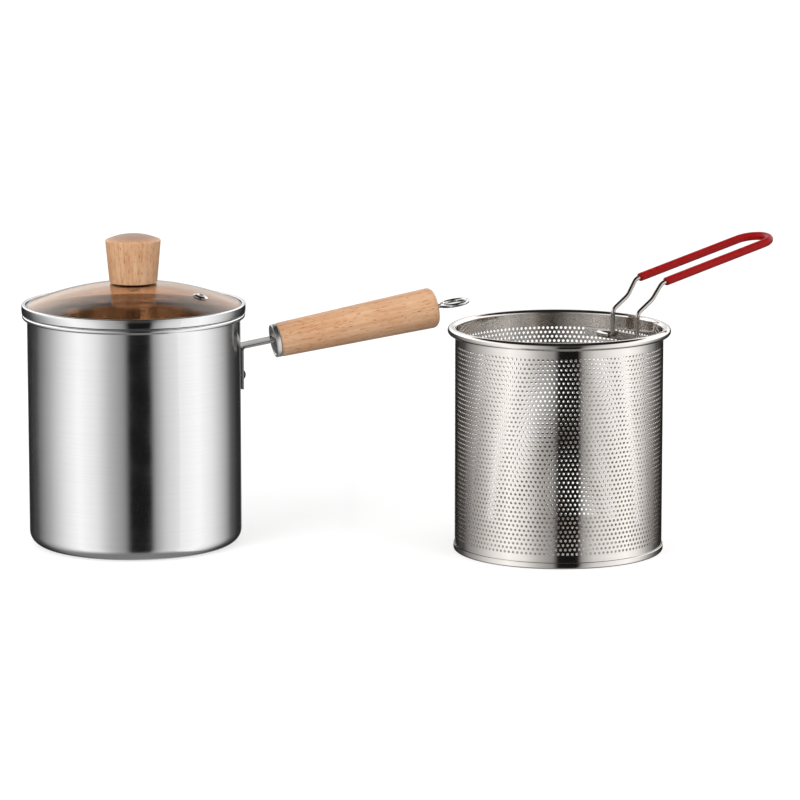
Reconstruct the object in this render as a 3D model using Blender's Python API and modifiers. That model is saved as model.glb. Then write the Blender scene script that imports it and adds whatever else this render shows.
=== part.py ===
"""Deep fry pot with a glass lid, a wooden handle and a separate perforated fry basket.

Metres, +Z up. The origin is the centre of the pot's base. X runs to the right of the pot as it
stands on a table and Y runs away from the viewer. The basket stands beside the pot.
"""

import bpy
import bmesh
from math import acos, atan2, cos, pi, radians, sin, sqrt, tan
from mathutils import Matrix, Vector

# Shared clearances and counts
GAP = 0.0003
CUT_OVERRUN = 0.002
WELD_DISTANCE = 0.00001
ROUND_STEPS = 48
SMALL_STEPS = 24
CORNER_STEPS = 4

# Pot
POT_RADIUS = 0.070
POT_HEIGHT = 0.153
POT_WALL = 0.001
POT_CORNER = 0.009
POT_BEAD_RADIUS = 0.0016

# Lid ring and glass
LID_RING_OVERHANG = 0.0036
LID_RING_HEIGHT = 0.0062
LID_RING_WALL = 0.0008
LID_LIP_WIDTH = 0.0026
LID_SKIRT_DEPTH = 0.004
LID_SKIRT_PLAY = 0.0012
GLASS_THICKNESS = 0.0032
GLASS_RISE = 0.0148
GLASS_RINGS = 6

# Lid knob, its screw and its washers
KNOB_BASE_RADIUS = 0.0153
KNOB_TOP_RADIUS = 0.0182
KNOB_SIDE_HEIGHT = 0.0250
KNOB_CROWN_HEIGHT = 0.0056
KNOB_EDGE = 0.0012
KNOB_SCREW_RADIUS = 0.002
KNOB_SCREW_REACH = 0.017
SCREW_HEAD_RADIUS = 0.0045
SCREW_HEAD_HEIGHT = 0.0024
WASHER_RADIUS = 0.0105
WASHER_THICKNESS = 0.0008

# Steam vent in the lid
VENT_DISTANCE = 0.049
VENT_TURN = radians(-24)
VENT_TUBE_RADIUS = 0.0026
VENT_BORE_RADIUS = 0.0015
VENT_FLANGE_RADIUS = 0.0050
VENT_FLANGE_THICKNESS = 0.0007

# Pot handle: turn about the pot, tilt above the horizontal, and the strap that carries it
HANDLE_TURN = radians(14)
HANDLE_TILT = radians(9.6)
HANDLE_ROOT_DROP = 0.0250
STRAP_WIDTH = 0.016
STRAP_THICKNESS = 0.0018
STRAP_FOOT_HEIGHT = 0.028
STRAP_BEND = 0.003
STRAP_FREE_LENGTH = 0.0215
GRIP_DROP = 0.0013
TANG_LENGTH = 0.014
FERRULE_RADIUS = 0.0112
FERRULE_LENGTH = 0.0034
FERRULE_EDGE = 0.0008
GRIP_LENGTH = 0.109
GRIP_FRONT_RADIUS = 0.0113
GRIP_END_RADIUS = 0.0136
GRIP_FRONT_EDGE = 0.0012
GRIP_END_EDGE = 0.0045
TIE_NUT_RADIUS = 0.0042
TIE_NUT_LENGTH = 0.007
LOOP_WIRE_RADIUS = 0.0014
LOOP_RADIUS = 0.0088
LOOP_NECK_RADIUS = 0.0032
LOOP_NECK_STANDOFF = 0.0015
LOOP_SWEEP = radians(318)
RIVET_SHANK_RADIUS = 0.0016
RIVET_HEAD_RADIUS = 0.0032
RIVET_HEAD_HEIGHT = 0.0015
RIVET_INNER_HEIGHT = 0.0006
RIVET_SPACING = 0.009
RIVET_DROP = 0.0185
RIVET_CROWN_SHARE = 0.9
RIVET_SHOULDER_SHARE = 0.87

# Basket
BASKET_X = 0.2786
BASKET_Y = -0.0225
BASKET_TURN = radians(40)
BASKET_PLAY = 0.001
BASKET_HEIGHT = 0.1477
BASKET_WALL = 0.0006
BASKET_RIM_RADIUS = 0.0023
OPENINGS_ROUND = 12
OPENING_ROWS = 8
OPENING_SHARE = 0.68
WALL_PLAIN_FOOT = 0.0080
WALL_PLAIN_TOP = 0.0102
BASE_WALL = 0.0006
BASE_FLANGE_HEIGHT = 0.0042
BASE_FLANGE_EDGE = 0.0006

# Bracket that the basket's handle turns in
BRACKET_THICKNESS = 0.0012
BRACKET_SETBACK = 0.0070
BRACKET_HEIGHT = 0.006
BRACKET_DROP = 0.0108
BRACKET_TAB_TURN = radians(33)
KNUCKLE_RADIUS = 0.0026
KNUCKLE_LENGTH = 0.011
KNUCKLE_SINK = 0.0007

# Basket handle of bent wire, and the dipped sleeve on it
WIRE_RADIUS = 0.0015
WIRE_FOOT_SPACING = 0.0118
WIRE_HALF_SPACING = 0.0126
WIRE_FOOT_OVERHANG = 0.0008
WIRE_KNEE_RISE = 0.0173
WIRE_SHOULDER_OUT = 0.0130
WIRE_SHOULDER_RISE = 0.0254
WIRE_NECK_OUT = 0.0209
WIRE_NECK_RISE = 0.0357
SLEEVE_RADIUS = 0.0028
SLEEVE_SETBACK = 0.0036
HANDLE_REACH = 0.1081
HANDLE_SLOPE = radians(10.9)
WIRE_FOOT_BEND = 0.0026
WIRE_KNEE_BEND = 0.005
WIRE_SHOULDER_BEND = 0.012
WIRE_NECK_BEND = 0.007
WIRE_SIDES_RESOLUTION = 2

# Heights and radii worked out from the sizes above
LID_RING_RADIUS = POT_RADIUS + LID_RING_OVERHANG
LID_SEAT = POT_HEIGHT + GAP
GLASS_EDGE_TOP = LID_SEAT + LID_RING_HEIGHT - LID_RING_WALL - GAP
GLASS_TOP = GLASS_EDGE_TOP + GLASS_RISE
GLASS_RADIUS = LID_RING_RADIUS - LID_RING_WALL - GAP
DOME_EDGE = LID_RING_RADIUS - LID_LIP_WIDTH - GAP
DOME_RADIUS = (DOME_EDGE**2 + GLASS_RISE**2) / (2 * GLASS_RISE)
GLASS_UNDER = GLASS_TOP - GLASS_THICKNESS
KNOB_BASE = GLASS_TOP + WASHER_THICKNESS + 2 * GAP
SCREW_HOLE_RADIUS = KNOB_SCREW_RADIUS + GAP
UNDER_RADIUS = DOME_RADIUS - GLASS_THICKNESS
WASHER_SAG = UNDER_RADIUS - sqrt(UNDER_RADIUS**2 - WASHER_RADIUS**2)
SCREW_WASHER_BOTTOM = GLASS_UNDER - WASHER_SAG - GAP - WASHER_THICKNESS
SCREW_HEAD_TOP = SCREW_WASHER_BOTTOM - GAP
FERRULE_START = STRAP_FREE_LENGTH
GRIP_START = FERRULE_START + FERRULE_LENGTH + GAP
GRIP_END = GRIP_START + GRIP_LENGTH
TANG_END = GRIP_START + TANG_LENGTH
SLOT_HALF_WIDTH = STRAP_WIDTH / 2 + GAP
SLOT_LOW = GRIP_DROP - STRAP_THICKNESS / 2 - GAP
SLOT_HIGH = GRIP_DROP + STRAP_THICKNESS / 2 + GAP
HANDLE_ROOT_HEIGHT = POT_HEIGHT - HANDLE_ROOT_DROP
STRAP_FACE = POT_RADIUS + GAP + STRAP_THICKNESS
BASKET_RADIUS = POT_RADIUS - POT_WALL - BASKET_PLAY
BASKET_INSIDE = BASKET_RADIUS - BASKET_WALL
BRACKET_FACE = BASKET_INSIDE - GAP
BRACKET_CHORD = BASKET_INSIDE - BRACKET_SETBACK
PIVOT_OUT = BRACKET_CHORD + KNUCKLE_SINK - KNUCKLE_RADIUS
PIVOT_HEIGHT = BASKET_HEIGHT - BRACKET_DROP - BRACKET_HEIGHT / 2
KNUCKLE_START = WIRE_FOOT_SPACING + WIRE_FOOT_BEND


def clear_scene():
    """Removes every object, so that the model starts from nothing."""
    for old in list(bpy.data.objects):
        bpy.data.objects.remove(old)


def new_collection(name):
    """A collection in the scene."""
    made = bpy.data.collections.new(name)
    bpy.context.scene.collection.children.link(made)
    return made


def finish_of(name, colour, roughness, metallic, alpha=1.0):
    """A Principled material with one colour."""
    made = bpy.data.materials.new(name)
    made.use_nodes = True
    shader = made.node_tree.nodes["Principled BSDF"]
    shader.inputs["Base Color"].default_value = (*colour, 1.0)
    shader.inputs["Roughness"].default_value = roughness
    shader.inputs["Metallic"].default_value = metallic
    shader.inputs["Alpha"].default_value = alpha
    return made


def frame_at(name, location, rotation=(0, 0, 0), parent=None):
    """An empty that pieces are parented to."""
    made = bpy.data.objects.new(name, None)
    parts.objects.link(made)
    made.location = location
    made.rotation_euler = rotation
    made.parent = parent
    return made


def add_object(name, data, finish, parent=None):
    """A visible piece of the product."""
    made = bpy.data.objects.new(name, data)
    parts.objects.link(made)
    made.parent = parent
    if finish is not None:
        data.materials.append(finish)
    return made


def as_tool(made):
    """Moves an object to the cutters, where it shows only as wires."""
    for collection in list(made.users_collection):
        collection.objects.unlink(made)
    cutters.objects.link(made)
    made.hide_render = True
    made.display_type = "WIRE"
    return made


def join_or_cut(piece, tool, operation):
    """Adds an exact Boolean to a piece."""
    change = piece.modifiers.new(tool.name, "BOOLEAN")
    change.operation = operation
    change.solver = "EXACT"
    change.object = tool


def point(out, up):
    """A point of a profile: distance from the axis and height."""
    return Vector((out, 0, up))


def rounded(points, radii, steps=CORNER_STEPS):
    """The points with an arc at each corner that has a radius."""
    made = []
    for index, (corner, radius) in enumerate(zip(points, radii)):
        if radius == 0:
            made.append(corner.copy())
            continue
        back = (points[index - 1] - corner).normalized()
        ahead = (points[(index + 1) % len(points)] - corner).normalized()
        opening = back.angle(ahead)
        centre = corner + (back + ahead).normalized() * (radius / sin(opening / 2))
        arm = corner + back * (radius / tan(opening / 2)) - centre
        other = corner + ahead * (radius / tan(opening / 2)) - centre
        axis = arm.cross(other).normalized()
        for step in range(steps + 1):
            turn = Matrix.Rotation((pi - opening) * step / steps, 3, axis)
            made.append(centre + turn @ arm)
    return made


def arc(centre, radius, start, end, steps):
    """Profile points on an arc, from one angle to another."""
    angles = [start + (end - start) * step / steps for step in range(steps + 1)]
    return [centre + point(radius * cos(angle), radius * sin(angle)) for angle in angles]


def turned(name, profile, finish, closed=False, steps=ROUND_STEPS, parent=None):
    """A profile turned about its own Z axis. It runs down its outer side."""
    mesh = bpy.data.meshes.new(name)
    count = len(profile)
    edges = [(index, index + 1) for index in range(count - 1)]
    if closed:
        edges.append((count - 1, 0))
    mesh.from_pydata([tuple(place) for place in profile], edges, [])
    made = add_object(name, mesh, finish, parent)
    screw = made.modifiers.new("turn", "SCREW")
    screw.steps = steps
    screw.render_steps = steps
    screw.use_merge_vertices = True
    screw.merge_threshold = WELD_DISTANCE
    screw.use_smooth_shade = True
    return made


def lay_along_x(made, start):
    """Lays a turned piece down, so that its axis runs along its parent's X from start."""
    made.rotation_euler = (0, pi / 2, 0)
    made.location = (start, 0, 0)
    return made


def rod_tool(name, radius, low, high, steps=SMALL_STEPS, parent=None):
    """A plain round tool along its own Z."""
    mesh = bpy.data.meshes.new(name)
    shape = bmesh.new()
    middle = Matrix.Translation((0, 0, (low + high) / 2))
    bmesh.ops.create_cone(
        shape,
        cap_ends=True,
        segments=steps,
        radius1=radius,
        radius2=radius,
        depth=high - low,
        matrix=middle,
    )
    shape.to_mesh(mesh)
    shape.free()
    return as_tool(add_object(name, mesh, None, parent))


def box_tool(name, low, high, parent=None):
    """A plain box tool between two corners."""
    mesh = bpy.data.meshes.new(name)
    shape = bmesh.new()
    low = Vector(low)
    high = Vector(high)
    size = Matrix.Diagonal((*(high - low), 1))
    bmesh.ops.create_cube(shape, size=1, matrix=Matrix.Translation((low + high) / 2) @ size)
    shape.to_mesh(mesh)
    shape.free()
    return as_tool(add_object(name, mesh, None, parent))


def mesh_from_curve(made):
    """Replaces a curve object by a mesh object whose caps are welded on."""
    bpy.context.view_layer.update()
    graph = bpy.context.evaluated_depsgraph_get()
    mesh = bpy.data.meshes.new_from_object(made.evaluated_get(graph))
    shape = bmesh.new()
    shape.from_mesh(mesh)
    bmesh.ops.remove_doubles(shape, verts=shape.verts, dist=WELD_DISTANCE)
    bmesh.ops.recalc_face_normals(shape, faces=shape.faces)
    shape.to_mesh(mesh)
    shape.free()
    name = made.name
    parent = made.parent
    location = made.location.copy()
    rotation = made.rotation_euler.copy()
    collection = made.users_collection[0]
    bpy.data.objects.remove(made)
    solid = bpy.data.objects.new(name, mesh)
    collection.objects.link(solid)
    solid.parent = parent
    solid.location = location
    solid.rotation_euler = rotation
    return solid


def tube(name, route, radius, finish, parent=None):
    """A round tube with caps along a route of points."""
    curve = bpy.data.curves.new(name, "CURVE")
    curve.dimensions = "3D"
    curve.bevel_depth = radius
    curve.bevel_resolution = WIRE_SIDES_RESOLUTION
    curve.use_fill_caps = True
    spline = curve.splines.new("POLY")
    spline.points.add(len(route) - 1)
    for place, target in zip(route, spline.points):
        target.co = (*place, 1)
    return mesh_from_curve(add_object(name, curve, finish, parent))


def plate(name, outline, thickness, finish, parent=None):
    """A flat outline in its own XY plane, as thick as given about that plane."""
    curve = bpy.data.curves.new(name, "CURVE")
    curve.dimensions = "2D"
    curve.fill_mode = "BOTH"
    curve.extrude = thickness / 2
    spline = curve.splines.new("POLY")
    spline.points.add(len(outline) - 1)
    for place, target in zip(outline, spline.points):
        target.co = (place.x, place.y, 0, 1)
    spline.use_cyclic_u = True
    return mesh_from_curve(add_object(name, curve, finish, parent))


def make_pot_body():
    """The spun pot: a flat base, a round corner, a plain wall and a rolled bead at the mouth."""
    inside = POT_RADIUS - POT_WALL
    floor = [point(0, POT_WALL), point(inside, POT_WALL)]
    inner = rounded(
        [*floor, point(inside, POT_HEIGHT)],
        [0, POT_CORNER - POT_WALL, 0],
    )[:-1]
    bead_centre = point(POT_RADIUS + POT_BEAD_RADIUS, POT_HEIGHT - POT_BEAD_RADIUS)
    lip = rounded(
        [point(inside, 0), point(inside, POT_HEIGHT), bead_centre + point(0, POT_BEAD_RADIUS)],
        [0, POT_WALL, 0],
    )[1:-1]
    bead = arc(bead_centre, POT_BEAD_RADIUS, pi / 2, -pi / 2, CORNER_STEPS)
    fillet = [point(POT_RADIUS, POT_HEIGHT - 2 * POT_BEAD_RADIUS - POT_BEAD_RADIUS / 2)]
    outer = rounded(
        [fillet[0], point(POT_RADIUS, 0), point(0, 0)],
        [0, POT_CORNER, 0],
    )[1:]
    body = turned("pot_body", [*inner, *lip, *bead, *fillet, *outer], steel)
    for side in (-1, 1):
        hole = rod_tool(
            f"pot_rivet_hole_{side}",
            RIVET_SHANK_RADIUS + GAP,
            -CUT_OVERRUN,
            POT_WALL + 2 * CUT_OVERRUN,
            parent=handle_foot,
        )
        place_rivet(hole, side, -POT_WALL - GAP)
        join_or_cut(body, hole, "DIFFERENCE")
    return body


def place_rivet(made, side, start):
    """Puts a rivet or its hole along the strap's foot, from start outwards from the wall."""
    made.rotation_euler = (0, pi / 2, 0)
    made.location = (
        POT_RADIUS + GAP + start,
        side * RIVET_SPACING / 2,
        HANDLE_ROOT_HEIGHT - RIVET_DROP,
    )


def make_lid_rim():
    """The rolled steel ring that holds the glass: a band, two lips and a skirt in the pot."""
    top = LID_SEAT + LID_RING_HEIGHT
    inner_lip = LID_RING_RADIUS - LID_LIP_WIDTH
    inside = LID_RING_RADIUS - LID_RING_WALL
    skirt = POT_RADIUS - POT_WALL - LID_SKIRT_PLAY
    corners = [
        (inner_lip, top, 0),
        (LID_RING_RADIUS, top, LID_RING_WALL),
        (LID_RING_RADIUS, LID_SEAT, LID_RING_WALL),
        (skirt, LID_SEAT, 0),
        (skirt, LID_SEAT - LID_SKIRT_DEPTH, 0),
        (skirt - LID_RING_WALL, LID_SEAT - LID_SKIRT_DEPTH, 0),
        (skirt - LID_RING_WALL, LID_SEAT + LID_RING_WALL, 0),
        (inside, LID_SEAT + LID_RING_WALL, 0),
        (inside, top - LID_RING_WALL, 0),
        (inner_lip, top - LID_RING_WALL, 0),
    ]
    profile = rounded([point(out, up) for out, up, _ in corners], [edge for *_, edge in corners], 2)
    return turned("lid_rim", profile, polished, closed=True)


def make_lid_glass():
    """The domed glass, with a hole for the knob's screw and one for the vent."""
    centre = GLASS_TOP - DOME_RADIUS
    edge_angle = acos(DOME_EDGE / DOME_RADIUS)
    outer = arc(point(0, centre), DOME_RADIUS, pi / 2, edge_angle, GLASS_RINGS)
    inner_edge = POT_RADIUS - POT_WALL - LID_SKIRT_PLAY
    under_angle = acos(inner_edge / UNDER_RADIUS)
    inner = arc(point(0, centre), UNDER_RADIUS, under_angle, pi / 2, GLASS_RINGS)
    edge_under = LID_SEAT + LID_RING_WALL + GAP
    edge = [
        point(GLASS_RADIUS, GLASS_EDGE_TOP),
        point(GLASS_RADIUS, edge_under),
        point(inner_edge, edge_under),
    ]
    glass = turned("lid_glass", [*outer, *edge, *inner], tinted_glass)
    screw_hole = rod_tool(
        "glass_screw_hole",
        SCREW_HOLE_RADIUS,
        GLASS_UNDER - CUT_OVERRUN,
        GLASS_TOP + CUT_OVERRUN,
    )
    join_or_cut(glass, screw_hole, "DIFFERENCE")
    vent_hole = rod_tool(
        "glass_vent_hole",
        VENT_TUBE_RADIUS + GAP,
        -GLASS_THICKNESS - CUT_OVERRUN,
        CUT_OVERRUN,
        parent=vent_frame,
    )
    join_or_cut(glass, vent_hole, "DIFFERENCE")
    return glass


def make_knob():
    """The turned wooden knob, wider at its crowned top, bored for the screw."""
    top = KNOB_BASE + KNOB_SIDE_HEIGHT
    crown_radius = (KNOB_TOP_RADIUS**2 + KNOB_CROWN_HEIGHT**2) / (2 * KNOB_CROWN_HEIGHT)
    crown_angle = acos((KNOB_TOP_RADIUS - KNOB_EDGE) / crown_radius)
    crown_centre = point(0, top + KNOB_CROWN_HEIGHT - crown_radius)
    crown = arc(crown_centre, crown_radius, pi / 2, crown_angle, CORNER_STEPS)
    sides = rounded(
        [
            crown[-1],
            point(KNOB_TOP_RADIUS, top - KNOB_EDGE),
            point(KNOB_BASE_RADIUS, KNOB_BASE),
            point(0, KNOB_BASE),
        ],
        [0, KNOB_EDGE / 2, KNOB_EDGE, 0],
        2,
    )[1:]
    knob = turned("lid_knob", [*crown, *sides], beech, steps=SMALL_STEPS)
    bore = rod_tool(
        "knob_bore",
        SCREW_HOLE_RADIUS,
        KNOB_BASE - CUT_OVERRUN,
        KNOB_BASE + KNOB_SCREW_REACH + GAP,
    )
    join_or_cut(knob, bore, "DIFFERENCE")
    return knob


def make_knob_fixings():
    """The screw that holds the knob from below, and the washers on each side of the glass."""
    tip = KNOB_BASE + KNOB_SCREW_REACH
    bottom = SCREW_HEAD_TOP - SCREW_HEAD_HEIGHT
    profile = [
        point(0, tip),
        point(KNOB_SCREW_RADIUS, tip),
        point(KNOB_SCREW_RADIUS, SCREW_HEAD_TOP),
        point(SCREW_HEAD_RADIUS, SCREW_HEAD_TOP),
        point(SCREW_HEAD_RADIUS, bottom + SCREW_HEAD_HEIGHT / 2),
        point(SCREW_HEAD_RADIUS / 2, bottom),
        point(0, bottom),
    ]
    turned("knob_screw", profile, polished, steps=SMALL_STEPS)
    for name, low in (
        ("knob_washer", GLASS_TOP + GAP),
        ("screw_washer", SCREW_WASHER_BOTTOM),
    ):
        high = low + WASHER_THICKNESS
        ring = [
            point(SCREW_HOLE_RADIUS, high),
            point(WASHER_RADIUS, high),
            point(WASHER_RADIUS, low),
            point(SCREW_HOLE_RADIUS, low),
        ]
        turned(name, ring, seal_rubber, closed=True, steps=SMALL_STEPS)


def make_vent():
    """The steel eyelet that lines the steam vent."""
    above = GAP + VENT_FLANGE_THICKNESS
    below = -GLASS_THICKNESS - GAP - VENT_FLANGE_THICKNESS
    profile = [
        point(VENT_BORE_RADIUS, above),
        point(VENT_FLANGE_RADIUS, above),
        point(VENT_FLANGE_RADIUS, GAP),
        point(VENT_TUBE_RADIUS, GAP),
        point(VENT_TUBE_RADIUS, below + VENT_FLANGE_THICKNESS),
        point(VENT_FLANGE_RADIUS, below + VENT_FLANGE_THICKNESS),
        point(VENT_FLANGE_RADIUS, below),
        point(VENT_BORE_RADIUS, below),
    ]
    turned("vent_eyelet", profile, polished, closed=True, steps=SMALL_STEPS, parent=vent_frame)


def make_strap():
    """The bent steel strap: a foot on the pot wall and an arm that runs into the grip."""
    run = Vector((cos(HANDLE_TILT), sin(HANDLE_TILT), 0))
    rise = Vector((-sin(HANDLE_TILT), cos(HANDLE_TILT), 0)) * STRAP_THICKNESS / 2
    root = Vector((STRAP_FACE, HANDLE_ROOT_HEIGHT, 0))
    tip = root + run * TANG_END
    wall = STRAP_FACE - STRAP_THICKNESS
    foot = HANDLE_ROOT_HEIGHT - STRAP_FOOT_HEIGHT
    back = root + rise - run * (STRAP_THICKNESS / cos(HANDLE_TILT))
    under = root - rise
    outline = rounded(
        [Vector((wall, foot, 0)), Vector((wall, back.y, 0)), tip + rise, tip - rise]
        + [Vector((STRAP_FACE, under.y, 0)), Vector((STRAP_FACE, foot, 0))],
        [0, STRAP_BEND, 0, 0, STRAP_BEND - STRAP_THICKNESS, 0],
    )
    strap = plate("handle_strap", outline, STRAP_WIDTH, steel, handle_foot)
    strap.rotation_euler = (pi / 2, 0, 0)
    for side in (-1, 1):
        hole = rod_tool(
            f"strap_rivet_hole_{side}",
            RIVET_SHANK_RADIUS + GAP,
            -CUT_OVERRUN,
            STRAP_THICKNESS + CUT_OVERRUN,
            parent=handle_foot,
        )
        place_rivet(hole, side, 0)
        join_or_cut(strap, hole, "DIFFERENCE")
    return strap


def make_rivets():
    """Two rivets through the strap's foot and the pot wall."""
    sagitta = POT_RADIUS - sqrt(POT_RADIUS**2 - (RIVET_SPACING / 2 + RIVET_HEAD_RADIUS) ** 2)
    inner_face = -GAP - POT_WALL - sagitta - GAP
    outer_face = STRAP_THICKNESS + GAP
    profile = [
        point(0, outer_face + RIVET_HEAD_HEIGHT),
        point(RIVET_HEAD_RADIUS / 2, outer_face + RIVET_HEAD_HEIGHT * RIVET_CROWN_SHARE),
        point(RIVET_HEAD_RADIUS * RIVET_SHOULDER_SHARE, outer_face + RIVET_HEAD_HEIGHT / 2),
        point(RIVET_HEAD_RADIUS, outer_face),
        point(RIVET_SHANK_RADIUS, outer_face),
        point(RIVET_SHANK_RADIUS, inner_face),
        point(RIVET_HEAD_RADIUS, inner_face),
        point(RIVET_HEAD_RADIUS, inner_face - RIVET_INNER_HEIGHT),
        point(0, inner_face - RIVET_INNER_HEIGHT),
    ]
    for name, side in (("foot_rivet_front", -1), ("foot_rivet_back", 1)):
        rivet = turned(name, profile, polished, steps=SMALL_STEPS // 2, parent=handle_foot)
        place_rivet(rivet, side, 0)


def make_ferrule():
    """The steel cap at the grip's front end, with a slot for the strap."""
    profile = rounded(
        [
            point(0, FERRULE_LENGTH),
            point(FERRULE_RADIUS, FERRULE_LENGTH),
            point(FERRULE_RADIUS, 0),
            point(0, 0),
        ],
        [0, 0, FERRULE_EDGE, 0],
        2,
    )
    ferrule = turned("handle_ferrule", profile, polished, steps=SMALL_STEPS, parent=handle_frame)
    lay_along_x(ferrule, FERRULE_START)
    slot = box_tool(
        "ferrule_slot",
        (FERRULE_START - CUT_OVERRUN, -SLOT_HALF_WIDTH, SLOT_LOW),
        (GRIP_START + CUT_OVERRUN, SLOT_HALF_WIDTH, SLOT_HIGH),
        handle_frame,
    )
    join_or_cut(ferrule, slot, "DIFFERENCE")


def make_grip():
    """The turned beech grip, wider towards its end, slotted and bored for what holds it."""
    profile = rounded(
        [
            point(0, GRIP_LENGTH),
            point(GRIP_END_RADIUS, GRIP_LENGTH),
            point(GRIP_FRONT_RADIUS, 0),
            point(0, 0),
        ],
        [0, GRIP_END_EDGE, GRIP_FRONT_EDGE, 0],
    )
    grip = turned("handle_grip", profile, beech, steps=SMALL_STEPS, parent=handle_frame)
    lay_along_x(grip, GRIP_START)
    slot = box_tool(
        "grip_slot",
        (GRIP_START - CUT_OVERRUN, -SLOT_HALF_WIDTH, SLOT_LOW),
        (TANG_END + GAP, SLOT_HALF_WIDTH, SLOT_HIGH),
        handle_frame,
    )
    pocket = rod_tool(
        "grip_nut_pocket",
        TIE_NUT_RADIUS + 2 * GAP,
        -CUT_OVERRUN,
        TANG_LENGTH + TIE_NUT_LENGTH + 3 * GAP,
        parent=handle_frame,
    )
    lay_along_x(pocket, GRIP_START)
    bore = rod_tool(
        "grip_rod_bore",
        LOOP_WIRE_RADIUS + GAP,
        0,
        GRIP_LENGTH + CUT_OVERRUN,
        parent=handle_frame,
    )
    lay_along_x(bore, GRIP_START)
    for tool in (slot, pocket, bore):
        join_or_cut(grip, tool, "DIFFERENCE")


def make_tie_nut():
    """The six-sided nut at the strap's end that the loop's rod screws into."""
    hole = LOOP_WIRE_RADIUS + GAP
    profile = [
        point(hole, TIE_NUT_LENGTH),
        point(TIE_NUT_RADIUS, TIE_NUT_LENGTH),
        point(TIE_NUT_RADIUS, 0),
        point(hole, 0),
    ]
    nut = turned("tie_nut", profile, steel, closed=True, steps=6, parent=handle_frame)
    lay_along_x(nut, TANG_END + GAP)


def make_hang_loop():
    """The rod through the grip with the hanging eye bent on its end."""
    start = Vector((TANG_END + 2 * GAP, 0, 0))
    neck = Vector((GRIP_END + LOOP_NECK_STANDOFF, 0, 0))
    reach = sqrt(LOOP_RADIUS**2 + 2 * LOOP_RADIUS * LOOP_NECK_RADIUS)
    lean = atan2(LOOP_NECK_RADIUS, reach)
    route = [start]
    for step in range(CORNER_STEPS + 1):
        angle = -pi / 2 + (pi / 2 - lean) * step / CORNER_STEPS
        place = Vector((cos(angle), -1 - sin(angle), 0)) * LOOP_NECK_RADIUS
        route.append(neck + place)
    eye = neck + Vector((reach, 0, 0))
    eye_steps = 5 * CORNER_STEPS
    for step in range(1, eye_steps + 1):
        angle = pi - lean - LOOP_SWEEP * step / eye_steps
        route.append(eye + Vector((cos(angle), -sin(angle), 0)) * LOOP_RADIUS)
    tube("hang_loop", route, LOOP_WIRE_RADIUS, polished, handle_frame)


def make_basket_wall():
    """The rolled wall, with a plain grid of openings that stands for its fine perforation."""
    high = BASKET_HEIGHT - WALL_PLAIN_TOP
    pitch = (high - WALL_PLAIN_FOOT) / OPENING_ROWS
    bridge = pitch * (1 - OPENING_SHARE) / 2
    levels = [BASE_WALL + GAP]
    for row in range(OPENING_ROWS):
        low = WALL_PLAIN_FOOT + row * pitch
        levels += [low + bridge, low + pitch - bridge]
    levels.append(BASKET_HEIGHT)
    steps_each = ROUND_STEPS // OPENINGS_ROUND
    shape = bmesh.new()
    rings = [
        [
            shape.verts.new((BASKET_RADIUS * cos(angle), BASKET_RADIUS * sin(angle), level))
            for angle in (2 * pi * step / ROUND_STEPS for step in range(ROUND_STEPS))
        ]
        for level in levels
    ]
    for band, (lower, upper) in enumerate(zip(rings, rings[1:])):
        for step in range(ROUND_STEPS):
            if band % 2 == 1 and step % steps_each < steps_each // 2:
                continue
            ahead = (step + 1) % ROUND_STEPS
            shape.faces.new((lower[step], lower[ahead], upper[ahead], upper[step])).smooth = True
    mesh = bpy.data.meshes.new("basket_wall")
    shape.to_mesh(mesh)
    shape.free()
    wall = add_object("basket_wall", mesh, steel, basket_frame)
    sheet = wall.modifiers.new("sheet", "SOLIDIFY")
    sheet.thickness = BASKET_WALL
    sheet.offset = -1
    return wall


def make_basket_shell():
    """The basket's rolled wall, its wired rim and its crimped base pan."""
    make_basket_wall()
    centre = point(BASKET_RADIUS + GAP + BASKET_RIM_RADIUS, BASKET_HEIGHT - BASKET_RIM_RADIUS)
    sides = 2 * CORNER_STEPS
    ring = arc(centre, BASKET_RIM_RADIUS, 2 * pi, 2 * pi / sides, sides - 1)
    turned("basket_rim", ring, polished, closed=True, parent=basket_frame)
    flange = BASKET_RADIUS + GAP
    pan = rounded(
        [
            point(0, BASE_WALL),
            point(flange, BASE_WALL),
            point(flange, BASE_FLANGE_HEIGHT),
            point(flange + BASE_WALL, BASE_FLANGE_HEIGHT),
            point(flange + BASE_WALL, 0),
            point(0, 0),
        ],
        [0, 0, 0, 0, BASE_FLANGE_EDGE, 0],
        2,
    )
    turned("basket_base", pan, steel, parent=basket_frame)


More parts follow.
